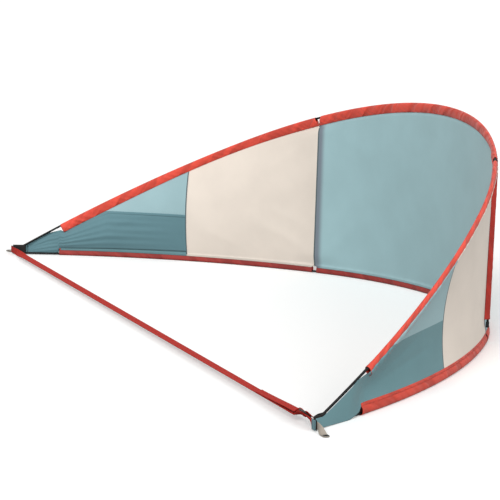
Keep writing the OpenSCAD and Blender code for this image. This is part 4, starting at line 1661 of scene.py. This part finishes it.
@dataclass
class GroundStrap(Assembly):
    """The strap from tip to tip, with its ladder buckle, loop and tail. Sizes in millimetres and degrees."""

    tips: Tips
    buckle_in: float = 22.0
    buckle_l: float = 34.0
    buckle_t: float = 5.0
    buckle_z: float = 28.0
    buckle_turn: float = 45.0
    bar: float = 5.0
    lead: float = 12.0
    tail_l: float = 330.0
    tilt: float = 13.0
    flat: float = 2.0
    left_twist: float = 0.07
    right_twist: float = 0.993
    strap_z: float = 20.5
    end_in: float = 4.0
    tail_gap: float = 0.8
    loop_from: float = 10.0
    loop_in: float = 2.0
    loop_tail: float = 12.0
    web_share: float = 0.95
    buckle_more: float = 11.0
    rail_w: float = 5.0
    bar_in: float = 6.0
    bar_shares: tuple[float, float] = (0.8, 0.7)
    rib: tuple[float, float] = (1.0, 2.2)
    rib_pitch: float = 5.0
    rib_off: float = 0.4
    round_share: float = 0.22
    fold_steps: int = 16
    loop_steps: int = 32
    steps: int = 500
    tail_steps: int = 90

    def __post_init__(self) -> None:
        """Works out where the buckle's bars and the webbing's bends lie."""
        shelter = self.shelter
        self.buckle_x = shelter.ground.half_span - self.buckle_in
        self.bend = math.hypot(self.bar / 2, self.buckle_t / 2) + shelter.fit + shelter.webbing_t / 2
        self.strap_bar = self.buckle_x - self.buckle_l + self.bar / 2
        self.loop_bar = self.buckle_x - self.bar / 2
        self.from_x, self.to_x = -shelter.corner_end_x, self.strap_bar - self.lead

    def at(self, x: float, z: float, turn: float = 0.0, above: float = 0.0) -> tuple[Vector, Vector]:
        """Place on the strap's line, or over webbing that is turned there.

        Args:
            x: Distance along the strap.
            z: Height of the strap.
            turn: Turn from lying flat.
            above: Distance over the webbing.

        Returns:
            The point in metres, and the direction across the webbing.
        """
        c, s = math.cos(math.radians(turn)), math.sin(math.radians(turn))
        y = self.shelter.strap_y - self.shelter.origin_y
        return Vector((x, y - above * s, z + above * c)) * MM, Vector((0, c, s))

    def turn(self, k: float) -> float:
        """Turn of the strap at a fraction of its length: on edge, nearly flat, then as the buckle."""
        left = (90 - self.tilt - self.flat) * (1 - ease(k / self.left_twist))
        right = (self.buckle_turn + self.flat) * ease((k - self.right_twist) / (1 - self.right_twist))
        return left + self.tilt * (1 - k) + self.flat - right

    def run(self, k: float, above: float = 0.0) -> tuple[Vector, Vector]:
        """Place on the strap at a fraction of its length."""
        lift = (self.buckle_z - self.strap_z) * ease((k - self.right_twist) / (1 - self.right_twist))
        z = mix(self.tips.ear_z, self.strap_z, k) + lift
        return self.at(mix(self.from_x, self.to_x, k), z, self.turn(k), above)

    def bar_fold(self, bar_x: float, way: int) -> list[tuple[Vector, Vector]]:
        """Path around a bar, from under it to over it; way is 1 where the webbing comes from the left."""
        path = []
        for i in range(self.fold_steps + 1):
            a = math.pi * i / self.fold_steps
            x = bar_x + way * self.bend * math.sin(a)
            path.append(self.at(x, self.buckle_z, -self.buckle_turn, self.bend * (1 - math.cos(a))))
        return path

    def strap(self) -> None:
        """Makes the strap: from the left ear to the buckle, around its bar and back as a loose tail."""
        shelter, tips = self.shelter, self.tips
        path = [
            self.at(-mix(tips.ear_x - self.end_in, shelter.corner_end_x, k / 5), tips.ear_z, 90)
            for k in range(5)
        ]
        path += [self.run(i / self.steps) for i in range(self.steps + 1)]
        path += [
            self.at(mix(self.to_x, self.strap_bar, k / 4), self.buckle_z, -self.buckle_turn)
            for k in range(1, 4)
        ]
        path += self.bar_fold(self.strap_bar, 1)
        first = 1 - (self.tail_l - self.lead) / (self.to_x - self.from_x)
        low = shelter.webbing_t + self.tail_gap
        for i in range(self.tail_steps + 1):
            k = 1 - i / self.tail_steps
            path.append(self.run(mix(first, 1, k), mix(low, 2 * self.bend, ease(k))))
        piece = ribbon("ground_strap_webbing", path, shelter.webbing_w, shelter.webbing_t * self.web_share)
        self.finishes.dress(piece, self.finishes.strap, ["ground_strap"])

    def loop(self) -> None:
        """Makes the loop that joins the buckle to the right ear."""
        shelter, turn = self.shelter, -self.buckle_turn
        near, far = self.loop_bar + self.loop_from, shelter.corner_end_x - self.loop_in
        path = [
            self.at(self.loop_bar + self.loop_tail * (1 - k / 4), self.buckle_z, turn, 2 * self.bend)
            for k in range(4)
        ]
        path += list(reversed(self.bar_fold(self.loop_bar, -1)))
        for i in range(self.loop_steps + 1):
            k = ease(i / self.loop_steps)
            z = mix(self.buckle_z, self.tips.ear_z, k)
            path.append(self.at(mix(near, far, i / self.loop_steps), z, mix(turn, -90, k)))
        end = self.tips.ear_x - self.end_in
        path += [self.at(mix(far, end, k / 5), self.tips.ear_z, -90) for k in range(1, 6)]
        piece = ribbon("buckle_loop_webbing", path, shelter.webbing_w, shelter.webbing_t * self.web_share)
        self.finishes.dress(piece, self.finishes.strap, ["buckle_loop"])

    def buckle(self) -> None:
        """Makes the ladder buckle: a rounded frame with three bars and a ribbed grip."""
        w, slot = self.shelter.webbing_w + self.buckle_more, (self.buckle_l - 3 * self.bar) / 2
        centre, _ = self.at(self.buckle_x - self.buckle_l / 2, self.buckle_z, -self.buckle_turn, self.bend)
        tipped = Matrix.Translation(centre) @ Matrix.Rotation(math.radians(-self.buckle_turn), 4, "X")
        bm = bmesh.new()

        def block(x: float, y: float, z: float, size: tuple[float, float, float]) -> None:
            """Adds a rounded block at a place measured from the buckle's middle."""
            scale = Matrix.Diagonal((*(c * MM for c in size), 1))
            shape = tipped @ Matrix.Translation(Vector((x, y, z)) * MM) @ scale
            made = bmesh.ops.create_cube(bm, size=1, matrix=shape)
            edges = list({e for v in made["verts"] for e in v.link_edges})
            soft = self.round_share * min(size) * MM
            bmesh.ops.bevel(
                bm, geom=edges, offset=soft, affect="EDGES", segments=3, profile=0.5, material=-1
            )

        for y in (-1, 1):
            block(0, y * (w - self.rail_w) / 2, 0, (self.buckle_l, self.rail_w, self.buckle_t))
        for x in (-1, 0, 1):
            thick = self.buckle_t * self.bar_shares[int(x == 0)]
            block(x * (self.bar + slot), 0, 0, (self.bar, w - self.bar_in, thick))
        for i in range(-2, 3):
            rib = (*self.rib, self.buckle_t * self.bar_shares[1])
            block(-self.buckle_l / 2 + self.rib_off, i * self.rib_pitch, 0, rib)
        self.finishes.dress(new_object("strap_buckle_frame", bm), self.finishes.buckle, ["strap_buckle"])

    def build(self) -> None:
        """Makes the strap, its loop and the buckle."""
        self.strap()
        self.loop()
        self.buckle()


@dataclass
class Studio:
    """Pale floor, soft light and the camera at the photograph's angle."""

    shelter: Shelter
    eye: tuple[float, float, float] = (6.70087, -2.22311, 1.41765)
    yaw: float = -1.197256
    pitch: float = 0.163433
    focal_px: float = 2102.316
    frame_px: float = 500.0
    middle_px: float = 251.0
    sensor_w: float = 36.0
    floor_r: float = 90.0
    floor_drop: float = 0.0006
    lamp_angle: float = 35.0
    sky: float = 0.5
    key: float = 2.1
    key_way: tuple[float, float, float] = (-0.60, 0.52, -0.62)
    fill: float = 1.3
    fill_way: tuple[float, float, float] = (-0.9, -0.35, -0.4)

    def camera(self) -> None:
        """Places the camera."""
        data = bpy.data.cameras.new("camera")
        data.sensor_width = self.sensor_w
        data.lens = data.sensor_width * self.focal_px / self.frame_px
        data.shift_x = (self.frame_px / 2 - self.middle_px) / self.frame_px
        data.clip_end = 400.0
        eye = bpy.data.objects.new("camera", data)
        eye.location = (self.eye[0], self.eye[1] - self.shelter.origin_y * MM, self.eye[2])
        eye.rotation_euler = (math.pi / 2 - self.pitch, 0, -self.yaw)
        bpy.context.scene.collection.objects.link(eye)
        bpy.context.scene.camera = eye

    def floor(self) -> None:
        """Lays the floor, which stays white but for the shadow."""
        bm = bmesh.new()
        bmesh.ops.create_circle(bm, segments=64, radius=self.floor_r, cap_ends=True)
        piece = new_object("floor", bm, smooth=False)
        piece.location.z = -self.floor_drop
        material = bpy.data.materials.new("pale_floor")
        material.use_nodes = True
        tree = material.node_tree
        tree.nodes.clear()
        # The eye sees a white floor with the shadow on it; the cloth gets less of its light thrown back
        path = add(tree, "ShaderNodeLightPath")
        matt = add(tree, "ShaderNodeBsdfDiffuse", {"Color": linear("f4f4f3")})
        lift = add(tree, "ShaderNodeEmission", {"Color": (1, 1, 1, 1), "Strength": 0.14})
        white = add(tree, "ShaderNodeAddShader", {0: matt.outputs["BSDF"], 1: lift.outputs["Emission"]})
        dim = add(tree, "ShaderNodeBsdfDiffuse", {"Color": linear("a3a3a2")})
        shader = add(
            tree, "ShaderNodeMixShader",
            {0: path.outputs["Is Camera Ray"], 1: dim.outputs["BSDF"], 2: white.outputs["Shader"]},
        )
        add(tree, "ShaderNodeOutputMaterial", {"Surface": shader.outputs["Shader"]})
        piece.data.materials.append(material)

    def light(self) -> None:
        """Sets a white sky, a wide soft lamp from the front right and a weaker one from the right."""
        world = bpy.data.worlds.new("studio")
        bpy.context.scene.world = world
        world.use_nodes = True
        tree = world.node_tree
        tree.nodes.clear()
        path = add(tree, "ShaderNodeLightPath")
        seen = path.outputs["Is Camera Ray"]
        for ray in ("Is Glossy Ray", "Is Transmission Ray"):
            seen = add(
                tree, "ShaderNodeMath", {0: seen, 1: path.outputs[ray]}, operation="MAXIMUM"
            ).outputs["Value"]
        power = add(tree, "ShaderNodeMapRange", {"Value": seen, "To Min": self.sky, "To Max": 1.0})
        sky = add(
            tree, "ShaderNodeBackground", {"Color": (1, 1, 1, 1), "Strength": power.outputs["Result"]}
        )
        add(tree, "ShaderNodeOutputWorld", {"Surface": sky.outputs["Background"]})
        for name, power, way in (("key", self.key, self.key_way), ("side", self.fill, self.fill_way)):
            lamp = bpy.data.lights.new(name, "SUN")
            lamp.energy = power
            lamp.angle = math.radians(self.lamp_angle)
            source = bpy.data.objects.new(name, lamp)
            source.rotation_euler = Vector(way).to_track_quat("-Z", "Y").to_euler()
            bpy.context.scene.collection.objects.link(source)

    def build(self) -> None:
        """Sets up the whole studio."""
        self.camera()
        self.floor()
        self.light()
        bpy.context.scene.view_settings.view_transform = "Standard"


def main() -> None:
    """Builds the windbreak and its studio."""
    logging.basicConfig(level=logging.INFO, format="%(name)s %(message)s")
    shelter = Shelter()
    columns = [shelter.column(u) for u in (0.0, 1.0, 2.0)]
    laps = [Wall.lap_share * c.tall for c in columns]
    finishes = Finishes(shelter.pocket_h, shelter.girth(Edge.GROUND), shelter.back_low_w, laps)
    Studio(shelter).build()
    Poles(shelter, finishes).build()
    sleeves = Sleeves(shelter, finishes)
    sleeves.build()
    wall = Wall(shelter, finishes, sleeves)
    wall.build()
    SandPockets(shelter, finishes, wall).build()
    tips = Tips(shelter, finishes)
    tips.build()
    GroundStrap(shelter, finishes, tips).build()
    bpy.context.view_layer.update()


if __name__ == "__main__":
    main()
